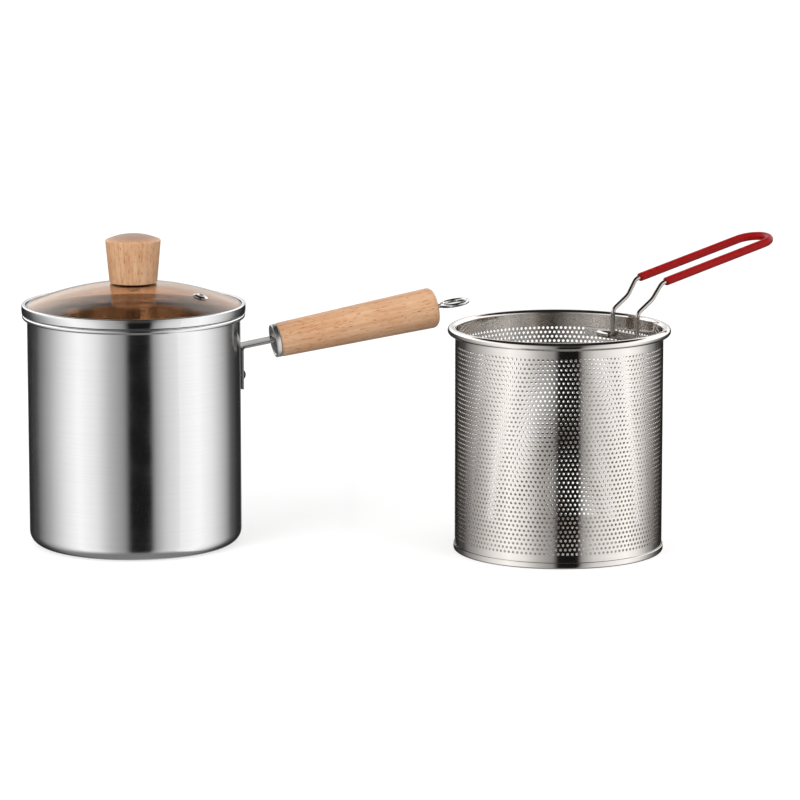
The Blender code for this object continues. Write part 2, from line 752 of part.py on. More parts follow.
def make_bracket():
    """The strip welded across the inside of the wall, with a knuckle for each foot of the handle."""
    chord_out = BRACKET_CHORD + BRACKET_THICKNESS
    tab_inner = BRACKET_FACE - BRACKET_THICKNESS
    outer_turn = acos(chord_out / BRACKET_FACE)
    inner_turn = acos(BRACKET_CHORD / tab_inner)

    def along(radius, start, end):
        """Points in plan on an arc about the basket's axis."""
        angles = [start + (end - start) * step / CORNER_STEPS for step in range(CORNER_STEPS + 1)]
        return [Vector((radius * cos(angle), radius * sin(angle), 0)) for angle in angles]

    outline = [
        *along(BRACKET_FACE, -BRACKET_TAB_TURN, -outer_turn),
        *along(BRACKET_FACE, outer_turn, BRACKET_TAB_TURN),
        *along(tab_inner, BRACKET_TAB_TURN, inner_turn),
        *along(tab_inner, -inner_turn, -BRACKET_TAB_TURN),
    ]
    strip = plate("basket_bracket", outline, BRACKET_HEIGHT, polished, basket_frame)
    strip.location = (0, 0, PIVOT_HEIGHT)
    for side in (-1, 1):
        near = side * KNUCKLE_START
        far = side * (KNUCKLE_START + KNUCKLE_LENGTH)
        ends = (min(near, far), max(near, far))
        knuckle = rod_tool(f"knuckle_{side}", KNUCKLE_RADIUS, *ends, SMALL_STEPS // 2, pivot_frame)
        join_or_cut(strip, knuckle, "UNION")
        bore = rod_tool(
            f"knuckle_bore_{side}",
            WIRE_RADIUS + GAP,
            ends[0] - CUT_OVERRUN / 2,
            ends[1] + CUT_OVERRUN / 2,
            SMALL_STEPS // 2,
            pivot_frame,
        )
        for tool in (knuckle, bore):
            tool.rotation_euler = (-pi / 2, 0, 0)
        join_or_cut(strip, bore, "DIFFERENCE")


def handle_half_route():
    """One leg of the handle's wire about its pivot: foot, upright, shoulder, neck and side."""
    foot_end = KNUCKLE_START + KNUCKLE_LENGTH + WIRE_FOOT_OVERHANG
    neck = Vector((WIRE_NECK_OUT, WIRE_HALF_SPACING, WIRE_NECK_RISE))
    side = Vector((cos(HANDLE_SLOPE), 0, sin(HANDLE_SLOPE)))
    corners = [
        Vector((0, foot_end, 0)),
        Vector((0, WIRE_FOOT_SPACING, 0)),
        Vector((0, WIRE_FOOT_SPACING, WIRE_KNEE_RISE)),
        Vector((WIRE_SHOULDER_OUT, WIRE_FOOT_SPACING, WIRE_SHOULDER_RISE)),
        neck,
        neck + side * (HANDLE_REACH - WIRE_HALF_SPACING),
    ]
    bends = [0, WIRE_FOOT_BEND, WIRE_KNEE_BEND, WIRE_SHOULDER_BEND, WIRE_NECK_BEND, 0]
    return corners, bends, side


def handle_end(start, side):
    """The half circle that joins the two legs at the handle's far end."""
    centre = Vector((start.x, 0, start.z))
    steps = 3 * CORNER_STEPS
    angles = [pi * step / steps for step in range(steps + 1)]
    across = Vector((0, WIRE_HALF_SPACING, 0))
    ahead = side * WIRE_HALF_SPACING
    return [centre + across * cos(angle) + ahead * sin(angle) for angle in angles]


def mirrored(route):
    """The same points on the other side of the handle, in the opposite order."""
    return [Vector((place.x, -place.y, place.z)) for place in reversed(route)]


def make_basket_handle():
    """The bent wire handle and the red sleeve on its outer part."""
    corners, radii, side = handle_half_route()
    leg = rounded(corners, radii)
    end = handle_end(leg[-1], side)
    route = [*leg[:-1], *end, *mirrored(leg[:-1])]
    tube("basket_handle_wire", route, WIRE_RADIUS, polished, pivot_frame)
    sleeve_start = corners[4] + side * SLEEVE_SETBACK
    sleeve_route = [sleeve_start, *end, *mirrored([sleeve_start])]
    sleeve = tube("handle_sleeve", sleeve_route, SLEEVE_RADIUS, red_coat, pivot_frame)
    lead = side * CUT_OVERRUN
    before = sleeve_start - lead
    bore_route = [before, *end, *mirrored([before])]
    bore = as_tool(tube("sleeve_bore", bore_route, WIRE_RADIUS + GAP, None, pivot_frame))
    join_or_cut(sleeve, bore, "DIFFERENCE")


clear_scene()
parts = new_collection("deep_fry_pot_with_basket")
cutters = new_collection("cutters")

steel = finish_of("brushed_stainless", (0.62, 0.62, 0.61), 0.28, 1.0)
polished = finish_of("polished_stainless", (0.70, 0.70, 0.69), 0.12, 1.0)
beech = finish_of("beech_wood", (0.60, 0.36, 0.18), 0.50, 0.0)
tinted_glass = finish_of("tinted_glass", (0.35, 0.18, 0.10), 0.05, 0.0, 0.45)
seal_rubber = finish_of("silicone_seal", (0.75, 0.73, 0.70), 0.60, 0.0)
red_coat = finish_of("red_dipped_coat", (0.50, 0.02, 0.02), 0.40, 0.0)

vent_lean = atan2(VENT_DISTANCE, sqrt(DOME_RADIUS**2 - VENT_DISTANCE**2))
vent_rise = GLASS_TOP - DOME_RADIUS + sqrt(DOME_RADIUS**2 - VENT_DISTANCE**2)
vent_frame = frame_at(
    "vent_frame",
    (VENT_DISTANCE * cos(VENT_TURN), VENT_DISTANCE * sin(VENT_TURN), vent_rise),
    (0, vent_lean, VENT_TURN),
)
handle_foot = frame_at("handle_foot", (0, 0, 0), (0, 0, HANDLE_TURN))
handle_frame = frame_at(
    "handle_frame",
    (
        STRAP_FACE + GRIP_DROP * sin(HANDLE_TILT),
        0,
        HANDLE_ROOT_HEIGHT - GRIP_DROP * cos(HANDLE_TILT),
    ),
    (0, -HANDLE_TILT, 0),
    handle_foot,
)
basket_frame = frame_at("basket_frame", (BASKET_X, BASKET_Y, 0), (0, 0, BASKET_TURN))
pivot_frame = frame_at("pivot_frame", (PIVOT_OUT, 0, PIVOT_HEIGHT), (0, 0, 0), basket_frame)

make_pot_body()
make_strap()
make_rivets()
make_ferrule()
make_grip()
make_tie_nut()
make_hang_loop()
make_lid_rim()
make_lid_glass()
make_vent()
make_knob()
make_knob_fixings()
make_basket_shell()
make_bracket()
make_basket_handle()
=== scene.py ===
"""The looks of a deep fry pot with a domed glass lid, and of the fry basket that stands beside it.

Metres, +Z up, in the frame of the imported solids. Turned pieces are drawn as half sections and turned
about their own Z axis. Sizes that a solid already has are read from its box.
"""

from math import acos, atan2, cos, pi, radians, sin, sqrt, tan

import bmesh
import bpy
from mathutils import Matrix, Vector
from mathutils.geometry import delaunay_2d_cdt


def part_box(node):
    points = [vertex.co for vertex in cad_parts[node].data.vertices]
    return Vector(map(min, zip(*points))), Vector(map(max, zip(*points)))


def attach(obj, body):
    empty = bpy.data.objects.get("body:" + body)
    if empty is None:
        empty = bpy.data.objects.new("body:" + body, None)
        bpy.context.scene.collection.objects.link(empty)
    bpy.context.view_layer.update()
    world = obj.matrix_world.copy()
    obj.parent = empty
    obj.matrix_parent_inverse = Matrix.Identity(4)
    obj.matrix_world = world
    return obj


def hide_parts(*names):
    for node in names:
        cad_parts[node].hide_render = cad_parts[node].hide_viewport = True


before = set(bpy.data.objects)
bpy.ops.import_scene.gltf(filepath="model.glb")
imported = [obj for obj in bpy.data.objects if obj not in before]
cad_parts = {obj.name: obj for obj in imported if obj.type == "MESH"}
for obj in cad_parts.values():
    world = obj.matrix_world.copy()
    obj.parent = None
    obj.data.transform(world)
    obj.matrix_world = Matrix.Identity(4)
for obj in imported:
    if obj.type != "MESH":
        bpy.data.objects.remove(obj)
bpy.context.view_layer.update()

MM = 0.001

# How finely round things are drawn
TURN_STEPS = 192
SMALL_TURN_STEPS = 64
TUBE_SIDES = 20
ARC_STEPS = 8
SHARP_ANGLE = radians(32)
SAME_PLACE = 1e-7

# Sheets, clearances and how far cut edges are eased
POT_WALL = 1.0 * MM
BAND_WALL = 0.8 * MM
BASKET_SHEET = 0.6 * MM
GAP = 0.3 * MM
EASED = 0.3 * MM
FINELY_EASED = 0.2 * MM


# Mesh helpers


def placed(name, data, place=Matrix()):
    """A new object in the scene, which also names its mesh, lamp or camera."""
    data.name = name
    piece = bpy.data.objects.new(name, data)
    bpy.context.scene.collection.objects.link(piece)
    piece.matrix_world = place
    return piece


def as_mesh(shape):
    """A mesh made from a bmesh, which is then freed."""
    mesh = bpy.data.meshes.new("mesh")
    shape.to_mesh(mesh)
    shape.free()
    return mesh


def smoothed(mesh):
    """Gives a mesh smooth faces, and sharp edges where it turns a corner."""
    mesh.shade_smooth()
    mesh.set_sharp_from_angle(angle=SHARP_ANGLE)
    return mesh


def keep_mesh(shape):
    """A smoothed mesh made from a closed bmesh, with its faces pointing out."""
    bmesh.ops.recalc_face_normals(shape, faces=shape.faces)
    return smoothed(as_mesh(shape))


def modified(piece):
    """The mesh that an object's modifiers make of it."""
    bpy.context.view_layer.update()
    graph = bpy.context.evaluated_depsgraph_get()
    return bpy.data.meshes.new_from_object(piece.evaluated_get(graph))


def cut_away(piece, cutter_mesh, place):
    """Cuts a shape out of a piece."""
    cutter = placed("cutter", cutter_mesh, place)
    cut = piece.modifiers.new("cut", "BOOLEAN")
    cut.operation = "DIFFERENCE"
    cut.solver = "EXACT"
    cut.object = cutter
    mesh = modified(piece)
    piece.modifiers.clear()
    piece.data = mesh
    bpy.data.objects.remove(cutter)


def show(name, mesh, finish, body, *nodes, place=Matrix(), grain_along_z=False):
    """Shows a mesh as a piece that moves with a body and stands for the solids of these nodes.

    The mesh takes the turn of its place itself. Only a wooden piece keeps it, for its grain.
    """
    mesh.materials.append(finish)
    if not grain_along_z:
        mesh.transform(place.to_3x3().to_4x4())
        place = Matrix.Translation(place.to_translation())
    piece = placed(name, mesh, place)
    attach(piece, body)
    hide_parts(*nodes)
    return piece


def shares(steps):
    """Even shares from 0 to 1."""
    return [step / steps for step in range(steps + 1)]


def circle(steps):
    """Even angles round a full turn, without the last."""
    return [2 * pi * step / steps for step in range(steps)]


def corner_arc(before, corner, after, radius, steps):
    """Points of the arc that rounds a corner between its two neighbours."""
    back = (before - corner).normalized()
    ahead = (after - corner).normalized()
    opening = back.angle(ahead)
    centre = corner + (back + ahead).normalized() * (radius / sin(opening / 2))
    reach = radius / tan(opening / 2)
    arm = corner + back * reach - centre
    axis = arm.cross(corner + ahead * reach - centre).normalized()
    turns = [Matrix.Rotation((pi - opening) * share, 3, axis) for share in shares(steps)]
    return [centre + turn @ arm for turn in turns]


def rounded(corners, steps=ARC_STEPS):
    """Points of a section. Each corner is (out, up, radius), and one with a radius becomes an arc."""
    places = [Vector((out, 0, up)) for out, up, _ in corners]
    made = []
    for index, (corner, (*_, radius)) in enumerate(zip(places, corners)):
        if radius == 0:
            made.append(corner)
        else:
            after = places[(index + 1) % len(places)]
            made += corner_arc(places[index - 1], corner, after, radius, steps)
    return made


def arc(centre, radius, start, end, steps=ARC_STEPS):
    """Points of a section on an arc about (out, up), between two angles."""
    out, up = centre
    angles = [start + (end - start) * share for share in shares(steps)]
    return [Vector((out + radius * cos(angle), 0, up + radius * sin(angle))) for angle in angles]


def bridge(shape, low, high):
    """Faces between two rings of corners. A ring on the axis is one corner, many times over."""
    for step in range(len(low)):
        after = (step + 1) % len(low)
        loop = dict.fromkeys((low[step], low[after], high[after], high[step]))
        if len(loop) > 2:
            shape.faces.new(loop)


def turned(section, closed=False, steps=TURN_STEPS):
    """A section turned about Z. Points on the axis become one corner."""
    shape = bmesh.new()
    rings = []
    for out, _, up in section:
        if abs(out) < SAME_PLACE:
            rings.append([shape.verts.new((0, 0, up))] * steps)
        else:
            places = [(out * cos(angle), out * sin(angle), up) for angle in circle(steps)]
            rings.append([shape.verts.new(place) for place in places])
    for low, high in zip(rings, rings[1:]):
        bridge(shape, low, high)
    if closed:
        bridge(shape, rings[-1], rings[0])
    return keep_mesh(shape)


def tube(route, radius, end_round):
    """A solid round bar along a route, with its ends rounded over by a radius."""
    ends = [sin(pi / 2 * share) for share in shares(ARC_STEPS)[:-1]]
    start_way = (route[1] - route[0]).normalized()
    end_way = (route[-1] - route[-2]).normalized()
    insets = [end_round * (1 - sqrt(1 - share**2)) for share in ends]
    end_radii = [radius - end_round * (1 - share) for share in ends]
    points = [route[0] + start_way * inset for inset in insets]
    points += route[1:-1]
    points += [route[-1] - end_way * inset for inset in reversed(insets)]
    radii = [*end_radii, *[radius] * (len(route) - 2), *reversed(end_radii)]
    shape = bmesh.new()
    rings = []
    side = start_way.orthogonal().normalized()
    for index, (place, size) in enumerate(zip(points, radii)):
        tangent = points[min(index + 1, len(points) - 1)] - points[max(index - 1, 0)]
        tangent.normalize()
        side = (side - tangent * side.dot(tangent)).normalized()
        up = tangent.cross(side)
        corners = [place + (side * cos(a) + up * sin(a)) * size for a in circle(TUBE_SIDES)]
        rings.append([shape.verts.new(corner) for corner in corners])
    for low, high in zip(rings, rings[1:]):
        bridge(shape, low, high)
    shape.faces.new(rings[0])
    shape.faces.new(rings[-1])
    return keep_mesh(shape)


def pressed(outline, depth, edge):
    """A flat outline in XZ pressed from sheet: as deep as given along Y, with its edges eased."""
    shape = bmesh.new()
    near = [shape.verts.new((place.x, -depth / 2, place.z)) for place in outline]
    far = [shape.verts.new((place.x, depth / 2, place.z)) for place in outline]
    shape.faces.new(near)
    shape.faces.new(reversed(far))
    bridge(shape, near, far)
    bmesh.ops.recalc_face_normals(shape, faces=shape.faces)
    rims = [line for line in shape.edges if line.calc_face_angle(0) > SHARP_ANGLE]
    bmesh.ops.bevel(shape, geom=rims, offset=edge, segments=3, profile=0.5, affect="EDGES")
    return keep_mesh(shape)


# Finishes

# A Map Range node's inputs are 0 value, 1 and 2 the range it has, 3 and 4 the range it gets. A Mix
# node's are 0 share, 6 and 7 the two colours, and its output 2 is their mix.


def linear(colour):
    """An sRGB hex colour as the linear colour that a shader takes."""
    channels = [int(colour[start : start + 2], 16) / 255 for start in (1, 3, 5)]
    return [
        channel / 12.92 if channel <= 0.04045 else ((channel + 0.055) / 1.055) ** 2.4
        for channel in channels
    ] + [1.0]


def set_inputs(tree, node, inputs):
    """Sets a node's inputs. Each is given a value, or a socket that is linked to it."""
    for key, value in inputs.items():
        if isinstance(value, bpy.types.NodeSocket):
            tree.links.new(value, node.inputs[key])
        else:
            node.inputs[key].default_value = value


def add_node(tree, kind, inputs=(), output=0, stops=(), **settings):
    """Adds a node and returns one of its outputs. A ramp's stops are (place, sRGB hex colour)."""
    node = tree.nodes.new("ShaderNode" + kind)
    for key, value in settings.items():
        setattr(node, key, value)
    set_inputs(tree, node, dict(inputs))
    if stops:
        line = node.color_ramp.elements
        line.remove(line[-1])
        line[0].position = stops[0][0]
        line[0].color = linear(stops[0][1])
        for position, colour in stops[1:]:
            line.new(position).color = linear(colour)
    return node.outputs[output]


def new_finish(name):
    """An empty material, its node tree and its Principled shader."""
    finish = bpy.data.materials.new(name)
    finish.use_nodes = True
    tree = finish.node_tree
    return finish, tree, tree.nodes["Principled BSDF"]


def steel_sheet(name, colour, polish, line_spacing, line_depth, shade):
    """Stainless steel 18/8 that was brushed or polished while it turned.

    The grit leaves fine rings about the piece's axis, which break up the gloss from ring to ring and
    pull reflections out along the axis.
    """
    line_length = 60 * MM
    pot_radius = 70 * MM
    cloud_size = 18 * MM
    finish, tree, shader = new_finish(name)
    place = add_node(tree, "TexCoord", output="Object")
    flat = add_node(tree, "VectorMath", {0: place, 1: (1, 1, 0)}, operation="MULTIPLY")
    way = add_node(tree, "VectorMath", {0: flat}, operation="NORMALIZE")
    around = add_node(tree, "VectorMath", {0: way, "Scale": pot_radius / line_length}, operation="SCALE")
    out = add_node(tree, "VectorMath", {0: flat}, "Value", operation="LENGTH")
    up = add_node(tree, "SeparateXYZ", {0: place}, "Z")
    across = add_node(tree, "Math", {0: out, 1: up}, operation="ADD")
    rings = add_node(tree, "Math", {0: across, 1: 1 / line_spacing}, operation="MULTIPLY")
    rings_up = add_node(tree, "CombineXYZ", {"Z": rings})
    grit = add_node(tree, "VectorMath", {0: around, 1: rings_up}, operation="ADD")
    lines = add_node(tree, "TexNoise", {"Vector": grit, "Scale": 1.0, "Detail": 3.0, "Roughness": 0.6})
    cloud = add_node(tree, "TexNoise", {"Vector": place, "Scale": 1 / cloud_size, "Detail": 2.0})
    tone = add_node(tree, "ValToRGB", {0: lines}, stops=((0.25, shade), (0.62, colour)))
    gloss = add_node(tree, "MapRange", {0: lines, 1: 0.3, 2: 0.7, 3: polish * 0.9, 4: polish * 1.15})
    worn = add_node(tree, "MapRange", {0: cloud, 1: 0.35, 2: 0.65, 3: 0.9, 4: 1.15})
    final_gloss = add_node(tree, "Math", {0: gloss, 1: worn}, operation="MULTIPLY")
    relief = add_node(tree, "Bump", {"Height": lines, "Strength": 1.0, "Distance": line_depth})
    turning = add_node(tree, "Tangent", direction_type="RADIAL", axis="Z")
    set_inputs(tree, shader, {
        "Base Color": tone, "Roughness": final_gloss, "Normal": relief, "Tangent": turning,
        "Metallic": 1.0, "Anisotropic": 0.6, "Anisotropic Rotation": 0.25,
    })
    return finish


def steel_bar(name, colour, polish, mark_size):
    """Drawn or pressed stainless steel, tumbled bright: a mirror gloss with faint soft marks."""
    finish, tree, shader = new_finish(name)
    place = add_node(tree, "TexCoord", output="Object")
    marks = add_node(
        tree, "TexNoise", {"Vector": place, "Scale": 1 / mark_size, "Detail": 4.0, "Roughness": 0.65}
    )
    gloss = add_node(tree, "MapRange", {0: marks, 1: 0.3, 2: 0.7, 3: polish * 0.8, 4: polish * 1.25})
    relief = add_node(tree, "Bump", {"Height": marks, "Strength": 0.08, "Distance": 0.05 * MM})
    set_inputs(tree, shader, {
        "Base Color": linear(colour), "Roughness": gloss, "Normal": relief, "Metallic": 1.0,
    })
    return finish


def turned_beech():
    """Steamed beech, turned, sanded and oiled.

    Straight pale grain runs along the piece, with the short dark flecks that show the kind of wood.
    Faces that point along the piece, the knob's top and the grip's ends, are darker and greyer: painted
    shade.
    """
    grain_width = 2.2 * MM
    grain_length = 60 * MM
    fleck_width = 0.35 * MM
    fleck_length = 2.2 * MM
    mottle_size = 26 * MM
    finish, tree, shader = new_finish("turned_beech")
    place = add_node(tree, "TexCoord", output="Object")
    bands_at = add_node(
        tree, "Mapping", {"Vector": place, "Scale": (1 / grain_width, 1 / grain_width, 1 / grain_length)}
    )
    bands = add_node(
        tree, "TexNoise", {"Vector": bands_at, "Scale": 1.0, "Detail": 5.0, "Roughness": 0.55}
    )
    flecks_at = add_node(
        tree, "Mapping", {"Vector": place, "Scale": (1 / fleck_width, 1 / fleck_width, 1 / fleck_length)}
    )
    flecks = add_node(tree, "TexNoise", {"Vector": flecks_at, "Scale": 0.5, "Detail": 1.0})
    broad = add_node(tree, "TexNoise", {"Vector": place, "Scale": 1 / mottle_size, "Detail": 2.0})
    wood = add_node(
        tree, "ValToRGB", {0: bands}, stops=((0.30, "#CC9B72"), (0.50, "#D6AA83"), (0.72, "#DFB795"))
    )
    for height, stops in (
        (flecks, ((0.59, "#FFFFFF"), (0.73, "#D4B094"))),
        (broad, ((0.35, "#F6EEE8"), (0.65, "#FFFFFF"))),
    ):
        stain = add_node(tree, "ValToRGB", {0: height}, stops=stops)
        wood = add_node(
            tree, "Mix", {0: 1.0, 6: wood, 7: stain}, output=2, data_type="RGBA", blend_type="MULTIPLY"
        )
    # Painted shade: faces that point along the piece, the knob's top most of all, get a darker, greyer
    # colour.
    normal = add_node(tree, "TexCoord", output="Normal")
    facing = add_node(tree, "SeparateXYZ", {0: normal}, "Z")
    along_grain = add_node(tree, "Math", {0: facing}, operation="ABSOLUTE")
    painted_end_shade = add_node(tree, "MapRange", {0: along_grain, 1: 0.90, 2: 0.96})
    oiled = add_node(
        tree, "Mix", {0: painted_end_shade, 6: wood, 7: linear("#AC8873")}, output=2, data_type="RGBA"
    )
    gloss = add_node(tree, "MapRange", {0: bands, 1: 0.3, 2: 0.7, 3: 0.50, 4: 0.38})
    relief = add_node(tree, "Bump", {"Height": flecks, "Strength": 0.35, "Distance": 0.08 * MM})
    set_inputs(tree, shader, {
        "Base Color": oiled, "Roughness": gloss, "Normal": relief, "IOR": 1.5, "Coat Weight": 0.12,
        "Coat Roughness": 0.3,
    })
    return finish


def tinted_glass():
    """Tempered soda-lime glass, tinted in the melt and pressed to a dome.

    Both faces are fire-polished, so they mirror at a low angle, and what shows through them is brown.
    Half of the gloss comes off the underside, back through the tint, so the gloss is tinted too.
    """
    wave_length = 30 * MM
    finish, tree, shader = new_finish("tinted_tempered_glass")
    place = add_node(tree, "TexCoord", output="Object")
    waves = add_node(tree, "TexNoise", {"Vector": place, "Scale": 1 / wave_length, "Detail": 1.0})
    relief = add_node(tree, "Bump", {"Height": waves, "Strength": 0.3, "Distance": 0.04 * MM})
    set_inputs(tree, shader, {
        "Base Color": linear("#E8C09C"), "Specular Tint": linear("#FFE6D2"), "Roughness": 0.0,
        "Normal": relief, "IOR": 1.52, "Transmission Weight": 1.0,
    })
    return finish


def red_dip():
    """Soft PVC that the wire was dipped in: an even deep red with a satin, slightly wavy skin."""
    wave_length = 3 * MM
    finish, tree, shader = new_finish("red_dipped_pvc")
    place = add_node(tree, "TexCoord", output="Object")
    skin = add_node(tree, "TexNoise", {"Vector": place, "Scale": 1 / wave_length, "Detail": 3.0})
    tone = add_node(tree, "ValToRGB", {0: skin}, stops=((0.35, "#8E0A0A"), (0.65, "#9A0D0D")))
    gloss = add_node(tree, "MapRange", {0: skin, 1: 0.3, 2: 0.7, 3: 0.28, 4: 0.42})
    relief = add_node(tree, "Bump", {"Height": skin, "Strength": 0.4, "Distance": 0.06 * MM})
    set_inputs(tree, shader, {
        "Base Color": tone, "Roughness": gloss, "Normal": relief, "IOR": 1.53,
        "Specular IOR Level": 0.12,
    })
    return finish


def silicone():
    """Moulded clear silicone rubber: milky, with a dull bloom."""
    bloom_size = 1.5 * MM
    finish, tree, shader = new_finish("moulded_silicone")
    place = add_node(tree, "TexCoord", output="Object")
    bloom = add_node(tree, "TexNoise", {"Vector": place, "Scale": 1 / bloom_size, "Detail": 2.0})
    tone = add_node(tree, "ValToRGB", {0: bloom}, stops=((0.3, "#8E8680"), (0.7, "#A79E97")))
    set_inputs(tree, shader, {"Base Color": tone, "Roughness": 0.55, "IOR": 1.41})
    return finish


# The grit lines are really about 0.1 mm apart. They are drawn coarser, so that they show.
brushed_pot = steel_sheet("brushed_pot_steel", "#E4E4E4", 0.15, 0.7 * MM, 0.0006 * MM, "#E0E0E0")
bright_band = steel_sheet("polished_band_steel", "#E4E4E4", 0.10, 0.5 * MM, 0.0005 * MM, "#E0E0E0")
basket_steel = steel_sheet("polished_basket_steel", "#E8E3DE", 0.09, 0.6 * MM, 0.0005 * MM, "#E0DBD6")
bright_bar = steel_bar("tumbled_bright_steel", "#DDDBD8", 0.12, 4 * MM)
drawn_wire = steel_bar("drawn_wire_steel", "#C2BCB6", 0.14, 4 * MM)
# The strap's steel is given a far darker colour than the other steel: painted shade on the strap.
strap_steel_painted_dark = steel_bar("pressed_strap_steel", "#7C7A78", 0.18, 2 * MM)
ferrule_steel = steel_bar("pressed_ferrule_steel", "#EDEBE8", 0.42, 3 * MM)
beech = turned_beech()
dome_glass = tinted_glass()
red_pvc = red_dip()
clear_silicone = silicone()


# Pot

pot_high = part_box("pot_body")[1]
POT_BEAD = 1.6 * MM
POT_RADIUS = pot_high.x - 2 * POT_BEAD
POT_HEIGHT = pot_high.z
POT_CORNER = 9 * MM
BASE_RECESS = 0.5 * MM
BASE_RECESS_RADIUS = 52 * MM


def make_pot():
    """The spun pot: a plain wall, a rolled bead at the mouth, and a base that bears on its rim."""
    inside = POT_RADIUS - POT_WALL
    bead_out = POT_RADIUS + POT_BEAD
    bead_up = POT_HEIGHT - POT_BEAD
    inner = rounded(
        [(0, POT_WALL, 0), (inside, POT_WALL, POT_CORNER - POT_WALL), (inside, POT_HEIGHT, 0)]
    )[:-1]
    lip = rounded([(inside, 0, 0), (inside, POT_HEIGHT, POT_WALL), (bead_out, POT_HEIGHT, 0)])[1:-1]
    bead = arc((bead_out, bead_up), POT_BEAD, pi / 2, -pi / 2)
    neck = rounded([
        (bead_out, bead_up - POT_BEAD, 0),
        (POT_RADIUS, bead_up - POT_BEAD, POT_BEAD / 2),
        (POT_RADIUS, POT_HEIGHT / 2, 0),
    ], steps=3)[1:-1]
    outer = rounded([
        (POT_RADIUS, POT_HEIGHT / 2, 0),
        (POT_RADIUS, 0, POT_CORNER),
        (BASE_RECESS_RADIUS, 0, BASE_RECESS),
        (BASE_RECESS_RADIUS - 2 * BASE_RECESS, BASE_RECESS, BASE_RECESS),
        (0, BASE_RECESS, 0),
    ])
    show("pot_shell", turned([*inner, *lip, *bead, *neck, *outer]), brushed_pot, "pot", "pot_body")


# Lid

ring_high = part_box("lid_rim")[1]
glass_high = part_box("lid_glass")[1]
knob_low, knob_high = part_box("lid_knob")
BAND_RADIUS = ring_high.x
BAND_TOP = ring_high.z
LID_SEAT = POT_HEIGHT + GAP
BAND_LIP = 2.6 * MM
BAND_SWELL = 0.25 * MM
BAND_BOW = 8 * MM
BAND_SKIRT = POT_RADIUS - POT_WALL - 1.2 * MM
BAND_SKIRT_DEPTH = 4 * MM
GLASS_THICKNESS = 3.2 * MM
GLASS_TOP = glass_high.z
GLASS_EDGE_TOP = BAND_TOP - BAND_WALL - GAP
GLASS_ROUND = 0.6 * MM
DOME_STEPS = 40
DOME_EDGE = BAND_RADIUS - BAND_LIP - GAP
DOME_RISE = GLASS_TOP - GLASS_EDGE_TOP
DOME_RADIUS = (DOME_EDGE**2 + DOME_RISE**2) / (2 * DOME_RISE)
SCREW_HOLE = 2.3 * MM
VENT_DISTANCE = 49 * MM
VENT_TURN = radians(-24)
VENT_TUBE = 2.6 * MM
VENT_BORE = 1.5 * MM
VENT_FLANGE = 5 * MM
VENT_SHEET = 0.7 * MM
VENT_CROWN = 0.5 * MM
VENT_CROWN_SHARE = 0.62
VENT_EDGE_SHARE = 0.45
PUNCH_REACH = 8 * MM
PUNCH_STEPS = 32
KNOB_FOOT = knob_low.z - 1.5 * MM
KNOB_TOP_RADIUS = knob_high.x
KNOB_BASE_RADIUS = 15.6 * MM
KNOB_BASE_ROUND = 0.6 * MM
KNOB_RECESS_RADIUS = 10.8 * MM
KNOB_RECESS = 1.5 * MM
KNOB_BORE_DEPTH = 17.3 * MM
KNOB_CROWN = 3.8 * MM
KNOB_CROWN_STEPS = 16
KNOB_CHAMFER = 0.5 * MM


def make_band():
    """The rolled band round the glass, with a lip over its edge and a skirt inside the pot."""
    inside = BAND_RADIUS - BAND_WALL
    lip = BAND_RADIUS - BAND_LIP
    swell = BAND_RADIUS - BAND_SWELL
    skirt_foot = LID_SEAT - BAND_SKIRT_DEPTH
    skirt_inside = BAND_SKIRT - BAND_WALL
    section = rounded([
        (lip, BAND_TOP - EASED, FINELY_EASED),
        (BAND_RADIUS - BAND_LIP / 2, BAND_TOP, BAND_WALL),
        (swell, BAND_TOP, BAND_WALL),
        (BAND_RADIUS, (BAND_TOP + LID_SEAT) / 2, BAND_BOW),
        (swell, LID_SEAT, BAND_WALL / 2),
        (BAND_SKIRT, LID_SEAT, 0),
        (BAND_SKIRT, skirt_foot, EASED),
        (skirt_inside, skirt_foot, EASED),
        (skirt_inside, LID_SEAT + BAND_WALL, BAND_WALL / 2),
        (inside, LID_SEAT + BAND_WALL, 0),
        (inside, BAND_TOP - BAND_WALL, 0),
        (lip, BAND_TOP - BAND_WALL, FINELY_EASED),
    ], steps=4)
    show("lid_band", turned(section, closed=True), bright_band, "lid", "lid_rim")


def vent_place():
    """Where the vent stands on the dome, square to it."""
    rise = sqrt(DOME_RADIUS**2 - VENT_DISTANCE**2)
    place = (VENT_DISTANCE * cos(VENT_TURN), VENT_DISTANCE * sin(VENT_TURN))
    up = GLASS_TOP - DOME_RADIUS + rise
    lean = atan2(VENT_DISTANCE, rise)
    turn = Matrix.Rotation(VENT_TURN, 4, "Z") @ Matrix.Rotation(lean, 4, "Y")
    return Matrix.Translation((*place, up)) @ turn


def make_dome():
    """The domed glass, with the hole for the knob's screw and the one for the vent."""
    centre = (0, GLASS_TOP - DOME_RADIUS)
    under = DOME_RADIUS - GLASS_THICKNESS
    edge_under = LID_SEAT + BAND_WALL + GAP
    edge_out = BAND_RADIUS - BAND_WALL - GAP
    rim_angle = acos(DOME_EDGE / DOME_RADIUS)
    outer = arc(centre, DOME_RADIUS, acos(SCREW_HOLE / DOME_RADIUS), rim_angle, DOME_STEPS)
    inner = arc(centre, under, acos(BAND_SKIRT / under), acos(SCREW_HOLE / under), DOME_STEPS)
    edge = rounded([
        (DOME_EDGE, GLASS_EDGE_TOP, 0),
        (edge_out, GLASS_EDGE_TOP, GLASS_ROUND),
        (edge_out, edge_under, GLASS_ROUND),
        (BAND_SKIRT, edge_under, 0),
    ], steps=4)[1:]
    mesh = turned([*outer, *edge, *inner], closed=True)
    dome = show("lid_dome", mesh, dome_glass, "lid", "lid_glass")
    hole = VENT_TUBE + GAP
    punch = rounded([
        (0, PUNCH_REACH, 0),
        (hole, PUNCH_REACH, 0),
        (hole, -PUNCH_REACH, 0),
        (0, -PUNCH_REACH, 0),
    ])
    cut_away(dome, turned(punch, steps=PUNCH_STEPS), vent_place())


